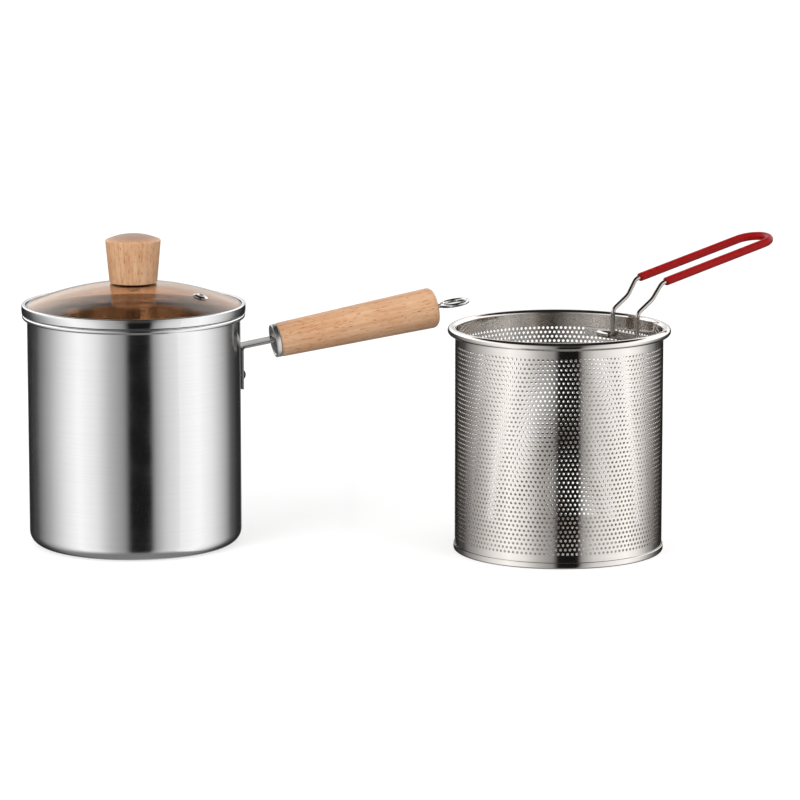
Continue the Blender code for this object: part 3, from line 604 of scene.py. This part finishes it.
def make_vent():
    """The steel eyelet that lines the steam vent, rolled over on both faces of the glass."""
    top = GAP + VENT_SHEET
    under = -GLASS_THICKNESS - GAP
    edge = VENT_SHEET * VENT_EDGE_SHARE
    section = rounded([
        (VENT_BORE, top + VENT_CROWN, VENT_SHEET),
        (VENT_FLANGE * VENT_CROWN_SHARE, top + VENT_CROWN, VENT_CROWN),
        (VENT_FLANGE, GAP + edge, edge),
        (VENT_FLANGE, GAP, 0),
        (VENT_TUBE, GAP, 0),
        (VENT_TUBE, under, 0),
        (VENT_FLANGE, under, edge),
        (VENT_FLANGE, under - VENT_SHEET, edge),
        (VENT_BORE, under - VENT_SHEET, VENT_SHEET),
    ], steps=4)
    mesh = turned(section, closed=True, steps=SMALL_TURN_STEPS)
    show("vent_eyelet_rolled", mesh, bright_bar, "lid", "vent_eyelet", place=vent_place())


def make_knob():
    """The turned knob: a taper that widens upwards, a fine chamfer and a crowned top."""
    height = knob_high.z - KNOB_FOOT
    side_top = height - KNOB_CROWN
    crown_out = KNOB_TOP_RADIUS - KNOB_CHAMFER
    crown_radius = (crown_out**2 + KNOB_CROWN**2) / (2 * KNOB_CROWN)
    crown_end = acos(crown_out / crown_radius)
    crown = arc((0, height - crown_radius), crown_radius, pi / 2, crown_end, KNOB_CROWN_STEPS)
    bore_top = KNOB_RECESS + KNOB_BORE_DEPTH
    sides = rounded([
        (crown_out, side_top, 0),
        (KNOB_TOP_RADIUS, side_top - KNOB_CHAMFER, KNOB_CHAMFER),
        (KNOB_BASE_RADIUS, 0, KNOB_BASE_ROUND),
        (KNOB_RECESS_RADIUS, 0, EASED),
        (KNOB_RECESS_RADIUS, KNOB_RECESS, 0),
        (SCREW_HOLE, KNOB_RECESS, 0),
        (SCREW_HOLE, bore_top, 0),
        (0, bore_top, 0),
    ])[1:]
    place = Matrix.Translation((0, 0, KNOB_FOOT))
    mesh = turned([*crown, *sides], steps=TURN_STEPS // 2)
    show("knob_of_beech", mesh, beech, "lid", "lid_knob", place=place, grain_along_z=True)


# Pot handle

strap_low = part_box("handle_strap")[0]
HANDLE_TURN = radians(14)
HANDLE_TILT = radians(9.6)
STRAP_WIDTH = 16 * MM
STRAP_THICKNESS = 1.8 * MM
STRAP_FACE = POT_RADIUS + GAP + STRAP_THICKNESS
STRAP_BEND = 3 * MM
STRAP_EDGE = 0.35 * MM
ROOT_HEIGHT = POT_HEIGHT - 25 * MM
GRIP_DROP = 1.3 * MM
FERRULE_START = 21.5 * MM
FERRULE_LENGTH = 3.4 * MM
FERRULE_RADIUS = 11.2 * MM
FERRULE_SHOULDER = 0.9 * MM
FERRULE_RIM = 1.6 * MM
FERRULE_RIM_ROUND = 0.6 * MM
FERRULE_DISH = 0.5 * MM
FERRULE_SLOPE = 0.4 * MM
GRIP_START = FERRULE_START + FERRULE_LENGTH + GAP
GRIP_LENGTH = 109 * MM
GRIP_FRONT_RADIUS = 11.3 * MM
GRIP_FRONT_ROUND = 1.2 * MM
GRIP_END_RADIUS = 13.6 * MM
GRIP_END_ROUND = 4.5 * MM
TANG_END = GRIP_START + 14 * MM
EYE_WIRE = 1.4 * MM
EYE_WIRE_ROUND = 0.4 * MM
EYE_RADIUS = 8.8 * MM
EYE_NECK_RADIUS = 3.2 * MM
EYE_STANDOFF = 1.5 * MM
EYE_SWEEP = radians(318)
RIVET_HEAD = 3.2 * MM
RIVET_HEIGHT = 1.5 * MM
RIVET_UPSET = 0.6 * MM
RIVET_SPACING = 9 * MM
RIVET_DROP = 18.5 * MM

foot_place = Matrix.Rotation(HANDLE_TURN, 4, "Z")
handle_place = (
    foot_place
    @ Matrix.Translation((STRAP_FACE, 0, ROOT_HEIGHT))
    @ Matrix.Rotation(-HANDLE_TILT, 4, "Y")
    @ Matrix.Translation((0, 0, -GRIP_DROP))
)
lay_down = Matrix.Rotation(pi / 2, 4, "Y")


def make_strap():
    """The strap, bent once: its foot stands on the wall and its arm enters the grip."""
    run = Vector((cos(HANDLE_TILT), 0, sin(HANDLE_TILT)))
    rise = Vector((-sin(HANDLE_TILT), 0, cos(HANDLE_TILT))) * STRAP_THICKNESS / 2
    root = Vector((STRAP_FACE, 0, ROOT_HEIGHT))
    tip = root + run * TANG_END
    wall = STRAP_FACE - STRAP_THICKNESS
    back = root + rise - run * (STRAP_THICKNESS / cos(HANDLE_TILT))
    under = root - rise
    outline = rounded([
        (wall, strap_low.z, 0),
        (wall, back.z, STRAP_BEND),
        (*(tip + rise).xz, 0),
        (*(tip - rise).xz, 0),
        (STRAP_FACE, under.z, STRAP_BEND - STRAP_THICKNESS),
        (STRAP_FACE, strap_low.z, 0),
    ])
    mesh = pressed(outline, STRAP_WIDTH, STRAP_EDGE)
    show("bent_strap", mesh, strap_steel_painted_dark, "pot", "handle_strap", place=foot_place)


def make_rivets():
    """The two rivets of the strap's foot, with domed heads outside and flat ones inside."""
    outer = STRAP_THICKNESS + GAP
    sagitta = POT_RADIUS - sqrt(POT_RADIUS**2 - (RIVET_SPACING / 2 + RIVET_HEAD) ** 2)
    inner = -GAP - POT_WALL - sagitta - GAP
    dome = (RIVET_HEAD**2 + RIVET_HEIGHT**2) / (2 * RIVET_HEIGHT)
    head_end = acos(RIVET_HEAD / dome)
    head = arc((0, outer + RIVET_HEIGHT - dome), dome, pi / 2, head_end, steps=10)
    shank = rounded([
        (RIVET_HEAD / 2, outer, 0),
        (RIVET_HEAD / 2, inner, 0),
        (RIVET_HEAD, inner, 0),
        (RIVET_HEAD, inner - RIVET_UPSET, EASED),
        (0, inner - RIVET_UPSET, 0),
    ], steps=3)
    for node, side in (("foot_rivet_front", -1), ("foot_rivet_back", 1)):
        spot = (POT_RADIUS + GAP, side * RIVET_SPACING / 2, ROOT_HEIGHT - RIVET_DROP)
        place = foot_place @ Matrix.Translation(spot) @ lay_down
        mesh = turned([*head, *shank], steps=SMALL_TURN_STEPS // 2)
        show(node + "_domed", mesh, bright_bar, "pot", node, place=place)


def make_ferrule():
    """The pressed steel cap at the front of the grip, dished and slotted for the strap."""
    dish_radius = FERRULE_RADIUS - FERRULE_RIM
    section = rounded([
        (0, FERRULE_LENGTH, 0),
        (FERRULE_RADIUS, FERRULE_LENGTH, EASED),
        (FERRULE_RADIUS, 0, FERRULE_SHOULDER),
        (dish_radius, 0, FERRULE_RIM_ROUND),
        (dish_radius - FERRULE_SLOPE, FERRULE_DISH, FERRULE_SLOPE),
        (0, FERRULE_DISH, 0),
    ], steps=5)
    start = Matrix.Translation((FERRULE_START, 0, 0))
    place = handle_place @ start @ lay_down
    mesh = turned(section, steps=TURN_STEPS // 2)
    ferrule = show("pressed_ferrule", mesh, ferrule_steel, "pot", "handle_ferrule", place=place)
    slot = bmesh.new()
    slot_size = (STRAP_THICKNESS + 2 * GAP, STRAP_WIDTH + 2 * GAP, 4 * FERRULE_LENGTH, 1)
    bmesh.ops.create_cube(slot, size=1, matrix=Matrix.Diagonal(slot_size))
    rise = Matrix.Translation((0, 0, GRIP_DROP))
    cut_away(ferrule, as_mesh(slot), handle_place @ start @ rise @ lay_down)


def make_grip():
    """The turned grip: a straight taper that widens towards a well rounded end."""
    section = rounded([
        (0, GRIP_LENGTH, 0),
        (GRIP_END_RADIUS, GRIP_LENGTH, GRIP_END_ROUND),
        (GRIP_FRONT_RADIUS, 0, GRIP_FRONT_ROUND),
        (0, 0, 0),
    ], steps=12)
    place = handle_place @ Matrix.Translation((GRIP_START, 0, 0)) @ lay_down
    mesh = turned(section, steps=TURN_STEPS // 2)
    grip = show("grip_of_beech", mesh, beech, "pot", "handle_grip", place=place, grain_along_z=True)
    # The photograph shows no grip in the bright steel beside it.
    grip.visible_glossy = False


def make_eye():
    """The rod through the grip, with the hanging eye bent on its end."""
    neck = Vector((GRIP_START + GRIP_LENGTH + EYE_STANDOFF, 0, 0))
    reach = sqrt(EYE_RADIUS**2 + 2 * EYE_RADIUS * EYE_NECK_RADIUS)
    lean = atan2(EYE_NECK_RADIUS, reach)
    centre = neck + Vector((reach, 0, 0))
    route = [Vector((TANG_END + 2 * GAP, 0, 0)), neck - Vector((EYE_STANDOFF * 2, 0, 0))]
    for share in shares(ARC_STEPS):
        angle = (pi / 2 - lean) * share - pi / 2
        route.append(neck + Vector((cos(angle), -1 - sin(angle), 0)) * EYE_NECK_RADIUS)
    for share in shares(8 * ARC_STEPS)[1:]:
        angle = pi - lean - EYE_SWEEP * share
        route.append(centre + Vector((cos(angle), -sin(angle), 0)) * EYE_RADIUS)
    mesh = tube(route, EYE_WIRE, EYE_WIRE_ROUND)
    show("hanging_eye", mesh, bright_bar, "pot", "hang_loop", place=handle_place)


# Basket

wall_low, wall_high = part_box("basket_wall")
rim_low, rim_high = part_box("basket_rim")
basket_spot = (wall_low + wall_high) / 2
BASKET_TURN = radians(40)
BASKET_RADIUS = (wall_high.x - wall_low.x) / 2
BASKET_INSIDE = BASKET_RADIUS - BASKET_SHEET
BASKET_HEIGHT = wall_high.z
WALL_TOP = BASKET_HEIGHT - 2 * MM
RIM_OUT = (rim_high.x - rim_low.x) / 2
RIM_ROLL_END = -radians(160)
RIM_ROLL_STEPS = 32
RIM_SKIRT = 1.5 * MM
HOLE_RADIUS = 0.92 * MM
HOLES_ROUND = 142
HOLE_ROWS = 44
HOLE_ROW_PITCH = 2.93 * MM
LOWEST_HOLES = 9.8 * MM
HOLE_SIDES = 8
FLOOR_HOLE_PITCH = 3.2 * MM
FLOOR_ROW_PITCH = FLOOR_HOLE_PITCH * sqrt(3) / 2
FLOOR_RADIUS = 61 * MM
FLOOR_MARGIN = 2.5 * HOLE_RADIUS
CRIMP_HEIGHT = 4.2 * MM
CRIMP_ROUND = 1.4 * MM
CRIMP_EDGE = 0.25 * MM
WALL_SIDES = ("basket_wall_right", "basket_wall_back", "basket_wall_left")
basket_place = Matrix.Translation((basket_spot.x, basket_spot.y, 0)) @ Matrix.Rotation(BASKET_TURN, 4, "Z")


def as_sheet(shape):
    """Gives an open surface the basket sheet's thickness, away from its normals."""
    carrier = placed("sheet", as_mesh(shape))
    body = carrier.modifiers.new("sheet", "SOLIDIFY")
    body.thickness = BASKET_SHEET
    body.offset = -1
    thick = modified(carrier)
    bpy.data.objects.remove(carrier)
    return smoothed(thick)


def height_of(level):
    """How high a level is. Each row of holes has one through it, and shares one on either side."""
    if level < 0:
        return wall_low.z
    if level > 2 * HOLE_ROWS:
        return WALL_TOP
    return LOWEST_HOLES + (level - 1) * HOLE_ROW_PITCH / 2


def make_wall_side(name, first, last):
    """Staggered columns of punched holes, with the plain strips below and above them."""
    half = pi / HOLES_ROUND
    shape = bmesh.new()
    made = {}

    def point(turn, up):
        return shape.verts.new((BASKET_RADIUS * cos(turn), BASKET_RADIUS * sin(turn), up))

    def at(step, level):
        """A corner of the grid, which the cells round it share."""
        if (step, level) not in made:
            made[step, level] = point(half * step, height_of(level))
        return made[step, level]

    for row in range(HOLE_ROWS):
        low, level, high = 2 * row, 2 * row + 1, 2 * row + 2
        for column in range(first, last):
            middle = 2 * column + row % 2
            left, right = middle - 1, middle + 1
            cell = (
                (right, level), (right, high), (middle, high), (left, high),
                (left, level), (left, low), (middle, low), (right, low),
            )
            hole = []
            for angle in circle(HOLE_SIDES):
                turn = half * middle + HOLE_RADIUS * cos(angle) / BASKET_RADIUS
                hole.append(point(turn, height_of(level) + HOLE_RADIUS * sin(angle)))
            bridge(shape, [at(*corner) for corner in cell], hole)
            strips = []
            if row == 0:
                strips.append((-1, low))
            if row == HOLE_ROWS - 1:
                strips.append((high, high + 1))
            for under, over in strips:
                for start, end in ((left, middle), (middle, right)):
                    corners = ((start, under), (end, under), (end, over), (start, over))
                    shape.faces.new([at(*corner) for corner in corners])
    show(name, as_sheet(shape), basket_steel, "basket", "basket_wall", place=basket_place)


def make_basket_wall():
    """The wall in three sides, each of its whole height."""
    seams = [HOLES_ROUND * index // 3 for index in range(4)]
    for name, first, last in zip(WALL_SIDES, seams, seams[1:]):
        make_wall_side(name, first, last)


def make_basket_rim():
    """The rim, rolled outwards over itself from the wall."""
    roll = (RIM_OUT - BASKET_INSIDE) / 2
    centre = (RIM_OUT - roll, BASKET_HEIGHT - roll)
    outer = arc(centre, roll, pi, RIM_ROLL_END, RIM_ROLL_STEPS)
    inner = arc(centre, roll - BASKET_SHEET, RIM_ROLL_END, pi, RIM_ROLL_STEPS)
    drop = centre[1] - RIM_SKIRT
    down = [Vector((BASKET_RADIUS, 0, drop)), Vector((BASKET_INSIDE, 0, drop))]
    mesh = turned([*outer, *inner, *down], closed=True)
    show("rolled_rim", mesh, basket_steel, "basket", "basket_rim", place=basket_place)


def make_basket_floor():
    """The punched floor of the basket's pan."""
    points = [Vector((cos(a), sin(a))) * FLOOR_RADIUS for a in circle(TURN_STEPS)]
    loops = [list(range(TURN_STEPS))]
    rows = int(FLOOR_RADIUS / FLOOR_ROW_PITCH)
    columns = int(FLOOR_RADIUS / FLOOR_HOLE_PITCH) + 1
    for row in range(-rows, rows + 1):
        for column in range(-columns, columns + 1):
            stagger = row % 2 / 2
            spot = Vector(((column + stagger) * FLOOR_HOLE_PITCH, row * FLOOR_ROW_PITCH))
            if spot.length < FLOOR_RADIUS - FLOOR_MARGIN:
                loops.append(list(range(len(points), len(points) + HOLE_SIDES)))
                for angle in circle(HOLE_SIDES):
                    angle += pi / HOLE_SIDES
                    points.append(spot + Vector((cos(angle), sin(angle))) * HOLE_RADIUS)
    places, _, faces, _, _, origins = delaunay_2d_cdt(points, [], loops, 1, SAME_PLACE)
    shape = bmesh.new()
    corners = [shape.verts.new((place.x, place.y, BASKET_SHEET)) for place in places]
    for face, origin in zip(faces, origins):
        if origin == [0]:
            shape.faces.new([corners[index] for index in face])
    loose = [corner for corner in shape.verts if not corner.link_faces]
    bmesh.ops.delete(shape, geom=loose, context="VERTS")
    bmesh.ops.recalc_face_normals(shape, faces=shape.faces)
    if sum(face.normal.z for face in shape.faces) < 0:
        bmesh.ops.reverse_faces(shape, faces=shape.faces)
    show("basket_floor", as_sheet(shape), basket_steel, "basket", "basket_base", place=basket_place)


def make_basket_crimp():
    """The edge of the basket's pan, crimped up over the wall."""
    flange = BASKET_RADIUS + GAP
    section = rounded([
        (FLOOR_RADIUS, BASKET_SHEET, 0),
        (flange, BASKET_SHEET, EASED),
        (flange, CRIMP_HEIGHT, FINELY_EASED),
        (flange + BASKET_SHEET, CRIMP_HEIGHT, CRIMP_EDGE),
        (flange + BASKET_SHEET, 0, CRIMP_ROUND),
        (FLOOR_RADIUS, 0, 0),
    ], steps=5)
    mesh = turned(section, closed=True)
    show("basket_crimp", mesh, basket_steel, "basket", "basket_base", place=basket_place)


# Basket handle

bracket_low, bracket_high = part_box("basket_bracket")
BRACKET_THICKNESS = 1.2 * MM
BRACKET_CHORD = BASKET_INSIDE - 7 * MM
BRACKET_HEIGHT = 6 * MM
BRACKET_TAB_TURN = radians(33)
KNUCKLE_RADIUS = 2.6 * MM
KNUCKLE_LENGTH = 11 * MM
KNUCKLE_SINK = 0.7 * MM
WIRE_RADIUS = 1.5 * MM
WIRE_FOOT_SPACING = 11.8 * MM
WIRE_HALF_SPACING = 12.6 * MM
WIRE_FOOT_BEND = 2.6 * MM
WIRE_FOOT_OVERHANG = 0.8 * MM
WIRE_KNEE_RISE = 17.3 * MM
WIRE_SHOULDER = (13 * MM, 25.4 * MM)
WIRE_NECK = (20.9 * MM, 35.7 * MM)
WIRE_BENDS = (WIRE_FOOT_BEND, 5 * MM, 12 * MM, 7 * MM)
WIRE_BEND_STEPS = 6
HANDLE_REACH = 108.1 * MM
HANDLE_SLOPE = radians(10.9)
SLEEVE_RADIUS = 2.8 * MM
SLEEVE_END_ROUND = 0.8 * MM
SLEEVE_SETBACK = 3.6 * MM
SLEEVE_LEAD = 2 * MM
PIVOT_OUT = BRACKET_CHORD + KNUCKLE_SINK - KNUCKLE_RADIUS
PIVOT_HEIGHT = (bracket_low.z + bracket_high.z) / 2
KNUCKLE_START = WIRE_FOOT_SPACING + WIRE_FOOT_BEND
pivot_place = basket_place @ Matrix.Translation((PIVOT_OUT, 0, PIVOT_HEIGHT))


def make_bracket():
    """The strip welded inside the wall, and the two knuckles rolled on it for the wire's feet."""
    face = BASKET_INSIDE - GAP
    inner = face - BRACKET_THICKNESS
    outer_turn = acos((BRACKET_CHORD + BRACKET_THICKNESS) / face)
    inner_turn = acos(BRACKET_CHORD / inner)
    outline = [
        *arc((0, 0), face, -BRACKET_TAB_TURN, -outer_turn),
        *arc((0, 0), face, outer_turn, BRACKET_TAB_TURN),
        *arc((0, 0), inner, BRACKET_TAB_TURN, inner_turn),
        *arc((0, 0), inner, -inner_turn, -BRACKET_TAB_TURN),
    ]
    stand = Matrix.Translation((0, 0, PIVOT_HEIGHT)) @ Matrix.Rotation(pi / 2, 4, "X")
    mesh = pressed(outline, BRACKET_HEIGHT, EASED)
    show("bracket_strip", mesh, bright_bar, "basket", "basket_bracket", place=basket_place @ stand)
    bore = WIRE_RADIUS + GAP
    section = rounded([
        (bore, KNUCKLE_LENGTH, FINELY_EASED),
        (KNUCKLE_RADIUS, KNUCKLE_LENGTH, EASED),
        (KNUCKLE_RADIUS, 0, EASED),
        (bore, 0, FINELY_EASED),
    ], steps=3)
    for name, side in (("knuckle_front", -1), ("knuckle_back", 1)):
        start = side * (KNUCKLE_START + KNUCKLE_LENGTH / 2) - KNUCKLE_LENGTH / 2
        place = pivot_place @ Matrix.Translation((0, start, 0)) @ Matrix.Rotation(-pi / 2, 4, "X")
        mesh = turned(section, closed=True, steps=SMALL_TURN_STEPS)
        show(name, mesh, bright_bar, "basket", "basket_bracket", place=place)


def other_side(route):
    """A route mirrored to the handle's other leg and run backwards."""
    return [Vector((place.x, -place.y, place.z)) for place in reversed(route)]


def make_wire():
    """The folding handle: one bent wire whose turned-out feet sit in the knuckles, and its dip."""
    foot_end = KNUCKLE_START + KNUCKLE_LENGTH + WIRE_FOOT_OVERHANG
    way = Vector((cos(HANDLE_SLOPE), 0, sin(HANDLE_SLOPE)))
    neck = Vector((WIRE_NECK[0], WIRE_HALF_SPACING, WIRE_NECK[1]))
    last = neck + way * (HANDLE_REACH - WIRE_HALF_SPACING)
    corners = [
        Vector((0, foot_end, 0)),
        Vector((0, WIRE_FOOT_SPACING, 0)),
        Vector((0, WIRE_FOOT_SPACING, WIRE_KNEE_RISE)),
        Vector((WIRE_SHOULDER[0], WIRE_FOOT_SPACING, WIRE_SHOULDER[1])),
        neck, last,
    ]
    leg = [corners[0]]
    for *bend, radius in zip(corners, corners[1:], corners[2:], WIRE_BENDS):
        leg += corner_arc(*bend, radius, WIRE_BEND_STEPS)
    middle = Vector((last.x, 0, last.z))
    across = Vector((0, WIRE_HALF_SPACING, 0))
    angles = [pi * share for share in shares(3 * ARC_STEPS)]
    end = [middle + across * cos(a) + way * WIRE_HALF_SPACING * sin(a) for a in angles]
    mesh = tube([*leg, *end, *other_side(leg)], WIRE_RADIUS, EASED)
    show("handle_wire", mesh, drawn_wire, "basket_handle", "basket_handle_wire", place=pivot_place)
    start = neck + way * SLEEVE_SETBACK
    lead = [start, start + way * SLEEVE_LEAD]
    mesh = tube([*lead, *end, *other_side(lead)], SLEEVE_RADIUS, SLEEVE_END_ROUND)
    show("dipped_sleeve", mesh, red_pvc, "basket_handle", "handle_sleeve", place=pivot_place)


# Solids that show as they are


def dress(node, finish):
    """Gives a solid that stays in view its finish."""
    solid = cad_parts[node]
    solid.data.materials.clear()
    solid.data.materials.append(finish)


# Camera, floor and light

CAMERA_SPOT = (0.17481, -2.904875, 0.60659)
CAMERA_DOWN = radians(9.995)
CAMERA_LENS = 201.5
LAMP_AIM = Vector((0.14, 0, 0.09))
LAMP_SIZE = 1.2
# Each lamp's name, place and watts
LAMPS = (("key_softbox", (-1.3, -1.9, 1.1), 29.0), ("fill_softbox", (1.7, -1.2, 1.2), 12.0))
FLOOR_SIZE = 14.0
FLOOR_WHITE = linear("#C8C8C8")
FLOOR_GLOW = 0.53
SOFTBOX_STRENGTH = 1.3
ROOM_LIGHT = 0.82
WHITE = (1.0, 1.0, 1.0, 1.0)

# What stands round the table, by degrees from straight in front of it. Up to the table's edge: soft
# white walls, a narrow black flag in front, and a pale panel behind between dark cloths. Above it: a
# white band with the flag in front. Metal shows these, and each grey is as the metal shows it.
STUDIO_WALLS = (
    (-180, "#B8B8B8"), (-170, "#707070"), (-162, "#1E1E1E"), (-150, "#2A2A2A"), (-130, "#454545"),
    (-104, "#A0A0A0"), (-78, "#E1E1E1"), (-60, "#FAFAFA"), (-40, "#E4E4E4"), (-24, "#B2B2B2"),
    (-8, "#888888"), (-2, "#161616"), (20, "#141414"), (25, "#949494"), (38, "#CCCCCC"),
    (60, "#EAEAEA"), (80, "#FAFAFA"), (97, "#E4E4E4"), (116, "#9C9C9C"), (134, "#505050"),
    (150, "#2A2A2A"), (165, "#1E1E1E"), (172, "#707070"), (180, "#B8B8B8"),
)
UPPER_BAND = (
    (-180, "#B4B4B4"), (-165, "#DADADA"), (-148, "#FFFFFF"), (-110, "#F2F2F2"), (-60, "#DDDDDD"),
    (-20, "#929292"), (0, "#363636"), (20, "#363636"), (40, "#A7A7A7"), (70, "#DDDDDD"),
    (110, "#F2F2F2"), (148, "#FFFFFF"), (165, "#DADADA"), (180, "#B4B4B4"),
)
UPPER_STRENGTH = 1.7
CEILING = linear("#262626")
UNDER_TABLE = linear("#868686")

# What light that comes through the glass shows. Up to the table's edge it is the white paper, and
# above that what lights the inside of the pot and the underside of the dome: white walls at the
# sides and behind, cloth in front and over them, and a small lamp from overhead.
INSIDE_SIDES = (
    (-180, "#C8C8C8"), (-150, "#FFFFFF"), (-100, "#FFFFFF"), (-60, "#3C3C3C"), (-30, "#0C0C0C"),
    (30, "#0C0C0C"), (60, "#3C3C3C"), (100, "#FFFFFF"), (150, "#FFFFFF"), (180, "#C8C8C8"),
)
INSIDE_STRENGTH = 1.3
INSIDE_SHADE = linear("#0A0A0A")
INSIDE_LIGHT = linear("#909090")

# Where one part of the room passes into the next, in degrees above the level
TABLE_EDGE = (-3, 8)
CEILING_EDGE = (34, 44)
UNDER_EDGE = (-33, -64)
GLASS_EDGE = (-3, 5)
SHADE_EDGE = (21, 33)
INSIDE_EDGE = (50, 70)

# The photograph's pot and basket were lit apart, so neither mirrors the other. Two cards between
# them, which only mirrors see, carry on the room's greys. Each stop is a place along Y in metres.
CARD_LOW = -120 * MM
CARD_HIGH = 165 * MM
POT_CARD_OUT = 135 * MM
POT_CARD = (
    (-0.135, "#EAEAEA"), (-0.075, "#FAFAFA"), (-0.040, "#E4E4E4"), (0.002, "#A8A8A8"),
    (0.030, "#626262"), (0.046, "#4E4E4E"), (0.088, "#303030"), (0.240, "#161616"),
)
BASKET_CARD_OUT = 145 * MM
BASKET_CARD = (
    (-0.145, "#FAFAFA"), (-0.096, "#E1E1E1"), (-0.043, "#A0A0A0"), (0.013, "#454545"),
    (0.086, "#2A2A2A"), (0.240, "#161616"),
)


def make_card(name, out, stops):
    """A card that stands on edge along Y and shows only in mirror images."""
    start, end = stops[0][0], stops[-1][0]
    shape = bmesh.new()
    corners = ((start, CARD_LOW), (end, CARD_LOW), (end, CARD_HIGH), (start, CARD_HIGH))
    shape.faces.new([shape.verts.new((out, along_y, up)) for along_y, up in corners])
    card = placed(name, as_mesh(shape))
    board, tree, shader = new_finish(name)
    place = add_node(tree, "TexCoord", output="Object")
    across = add_node(tree, "SeparateXYZ", {0: place}, "Y")
    share = add_node(tree, "MapRange", {0: across, 1: start, 2: end})
    greys = [((stop - start) / (end - start), grey) for stop, grey in stops]
    set_inputs(tree, shader, {
        "Emission Color": add_node(tree, "ValToRGB", {0: share}, stops=greys),
        "Emission Strength": SOFTBOX_STRENGTH, "Base Color": linear("#000000"),
        "Specular IOR Level": 0.0,
    })
    board.cycles.emission_sampling = "NONE"
    card.data.materials.append(board)
    card.visible_camera = False
    card.visible_diffuse = False
    card.visible_transmission = False
    card.visible_shadow = False


def make_camera():
    """The camera where the photograph's stood."""
    scene = bpy.context.scene
    scene.view_settings.view_transform = "Standard"
    scene.camera = placed("camera", bpy.data.cameras.new("camera"))
    scene.camera.location = CAMERA_SPOT
    scene.camera.rotation_euler = (pi / 2 - CAMERA_DOWN, 0, 0)
    scene.camera.data.lens = CAMERA_LENS


def make_floor():
    """White paper under the set. It glows as the room does, and keeps the shadows of the set."""
    shape = bmesh.new()
    bmesh.ops.create_grid(shape, x_segments=1, y_segments=1, size=FLOOR_SIZE / 2)
    floor = placed("studio_floor", as_mesh(shape))
    paper, tree, shader = new_finish("matt_white_paper")
    rays = add_node(tree, "LightPath").node.outputs
    seen = rays["Is Camera Ray"]
    for ray in ("Is Transmission Ray", "Is Glossy Ray"):
        seen = add_node(tree, "Math", {0: seen, 1: rays[ray]}, operation="MAXIMUM")
    glow = add_node(tree, "Math", {0: seen, 1: FLOOR_GLOW}, operation="MULTIPLY")
    set_inputs(tree, shader, {
        "Base Color": FLOOR_WHITE, "Roughness": 0.9, "Emission Color": WHITE,
        "Emission Strength": glow,
    })
    floor.data.materials.append(paper)
    floor.visible_glossy = False


def make_lamps():
    """Two soft lamps from the front, which no metal mirrors."""
    for name, spot, power in LAMPS:
        lamp = bpy.data.lights.new(name, "AREA")
        lamp.shape = "SQUARE"
        lamp.size = LAMP_SIZE
        lamp.energy = power
        stand = placed(name, lamp)
        stand.location = spot
        stand.rotation_euler = (LAMP_AIM - Vector(spot)).to_track_quat("-Z", "Y").to_euler()
        stand.visible_glossy = False


def make_room():
    """The room that the metal mirrors and the glass shows. The camera sees it as white."""
    room = bpy.data.worlds.new("studio_room")
    bpy.context.scene.world = room
    room.use_nodes = True
    room.cycles.sampling_method = "NONE"
    tree = room.node_tree
    way = add_node(tree, "TexCoord", output="Generated")
    right, back, up = add_node(tree, "SeparateXYZ", {0: way}).node.outputs
    ahead = add_node(tree, "Math", {0: back, 1: -1.0}, operation="MULTIPLY")
    turn = add_node(tree, "Math", {0: right, 1: ahead}, operation="ARCTAN2")
    share = add_node(tree, "MapRange", {0: turn, 1: -pi, 2: pi})
    sides = []
    for stops, strength in (
        (STUDIO_WALLS, SOFTBOX_STRENGTH),
        (UPPER_BAND, UPPER_STRENGTH),
        (INSIDE_SIDES, INSIDE_STRENGTH),
    ):
        greys = [((degrees + 180) / 360, grey) for degrees, grey in stops]
        wall = add_node(tree, "ValToRGB", {0: share}, stops=greys)
        sockets = {0: 1.0, 6: wall, 7: [strength] * 3 + [1.0]}
        sides.append(add_node(tree, "Mix", sockets, output=2, data_type="RGBA", blend_type="MULTIPLY"))
    walls, band, inside = sides
    rooms = []
    for colour, layers in (
        (walls, ((TABLE_EDGE, band), (CEILING_EDGE, CEILING), (UNDER_EDGE, UNDER_TABLE))),
        (WHITE, ((GLASS_EDGE, inside), (SHADE_EDGE, INSIDE_SHADE), (INSIDE_EDGE, INSIDE_LIGHT))),
    ):
        for (start, end), beyond in layers:
            sockets = {0: up, 1: sin(radians(start)), 2: sin(radians(end))}
            height = add_node(tree, "MapRange", sockets, interpolation_type="SMOOTHSTEP")
            colour = add_node(tree, "Mix", {0: height, 6: colour, 7: beyond}, output=2, data_type="RGBA")
        rooms.append(colour)
    mirrored, through_glass = rooms
    rays = add_node(tree, "LightPath").node.outputs
    shown = [ROOM_LIGHT] * 3 + [1.0]
    for ray, colour in (
        ("Is Glossy Ray", mirrored),
        ("Is Transmission Ray", through_glass),
        ("Is Camera Ray", WHITE),
    ):
        shown = add_node(tree, "Mix", {0: rays[ray], 6: shown, 7: colour}, output=2, data_type="RGBA")
    set_inputs(tree, tree.nodes["Background"], {"Color": shown, "Strength": 1.0})


make_pot()
make_band()
make_dome()
make_vent()
make_knob()
make_strap()
make_rivets()
make_ferrule()
make_grip()
make_eye()
make_basket_wall()
make_basket_rim()
make_basket_floor()
make_basket_crimp()
make_bracket()
make_wire()
dress("knob_screw", bright_bar)
dress("tie_nut", bright_bar)
dress("knob_washer", clear_silicone)
dress("screw_washer", clear_silicone)
make_card("card_by_pot", POT_CARD_OUT, POT_CARD)
make_card("card_by_basket", BASKET_CARD_OUT, BASKET_CARD)
make_camera()
make_floor()
make_lamps()
make_room()
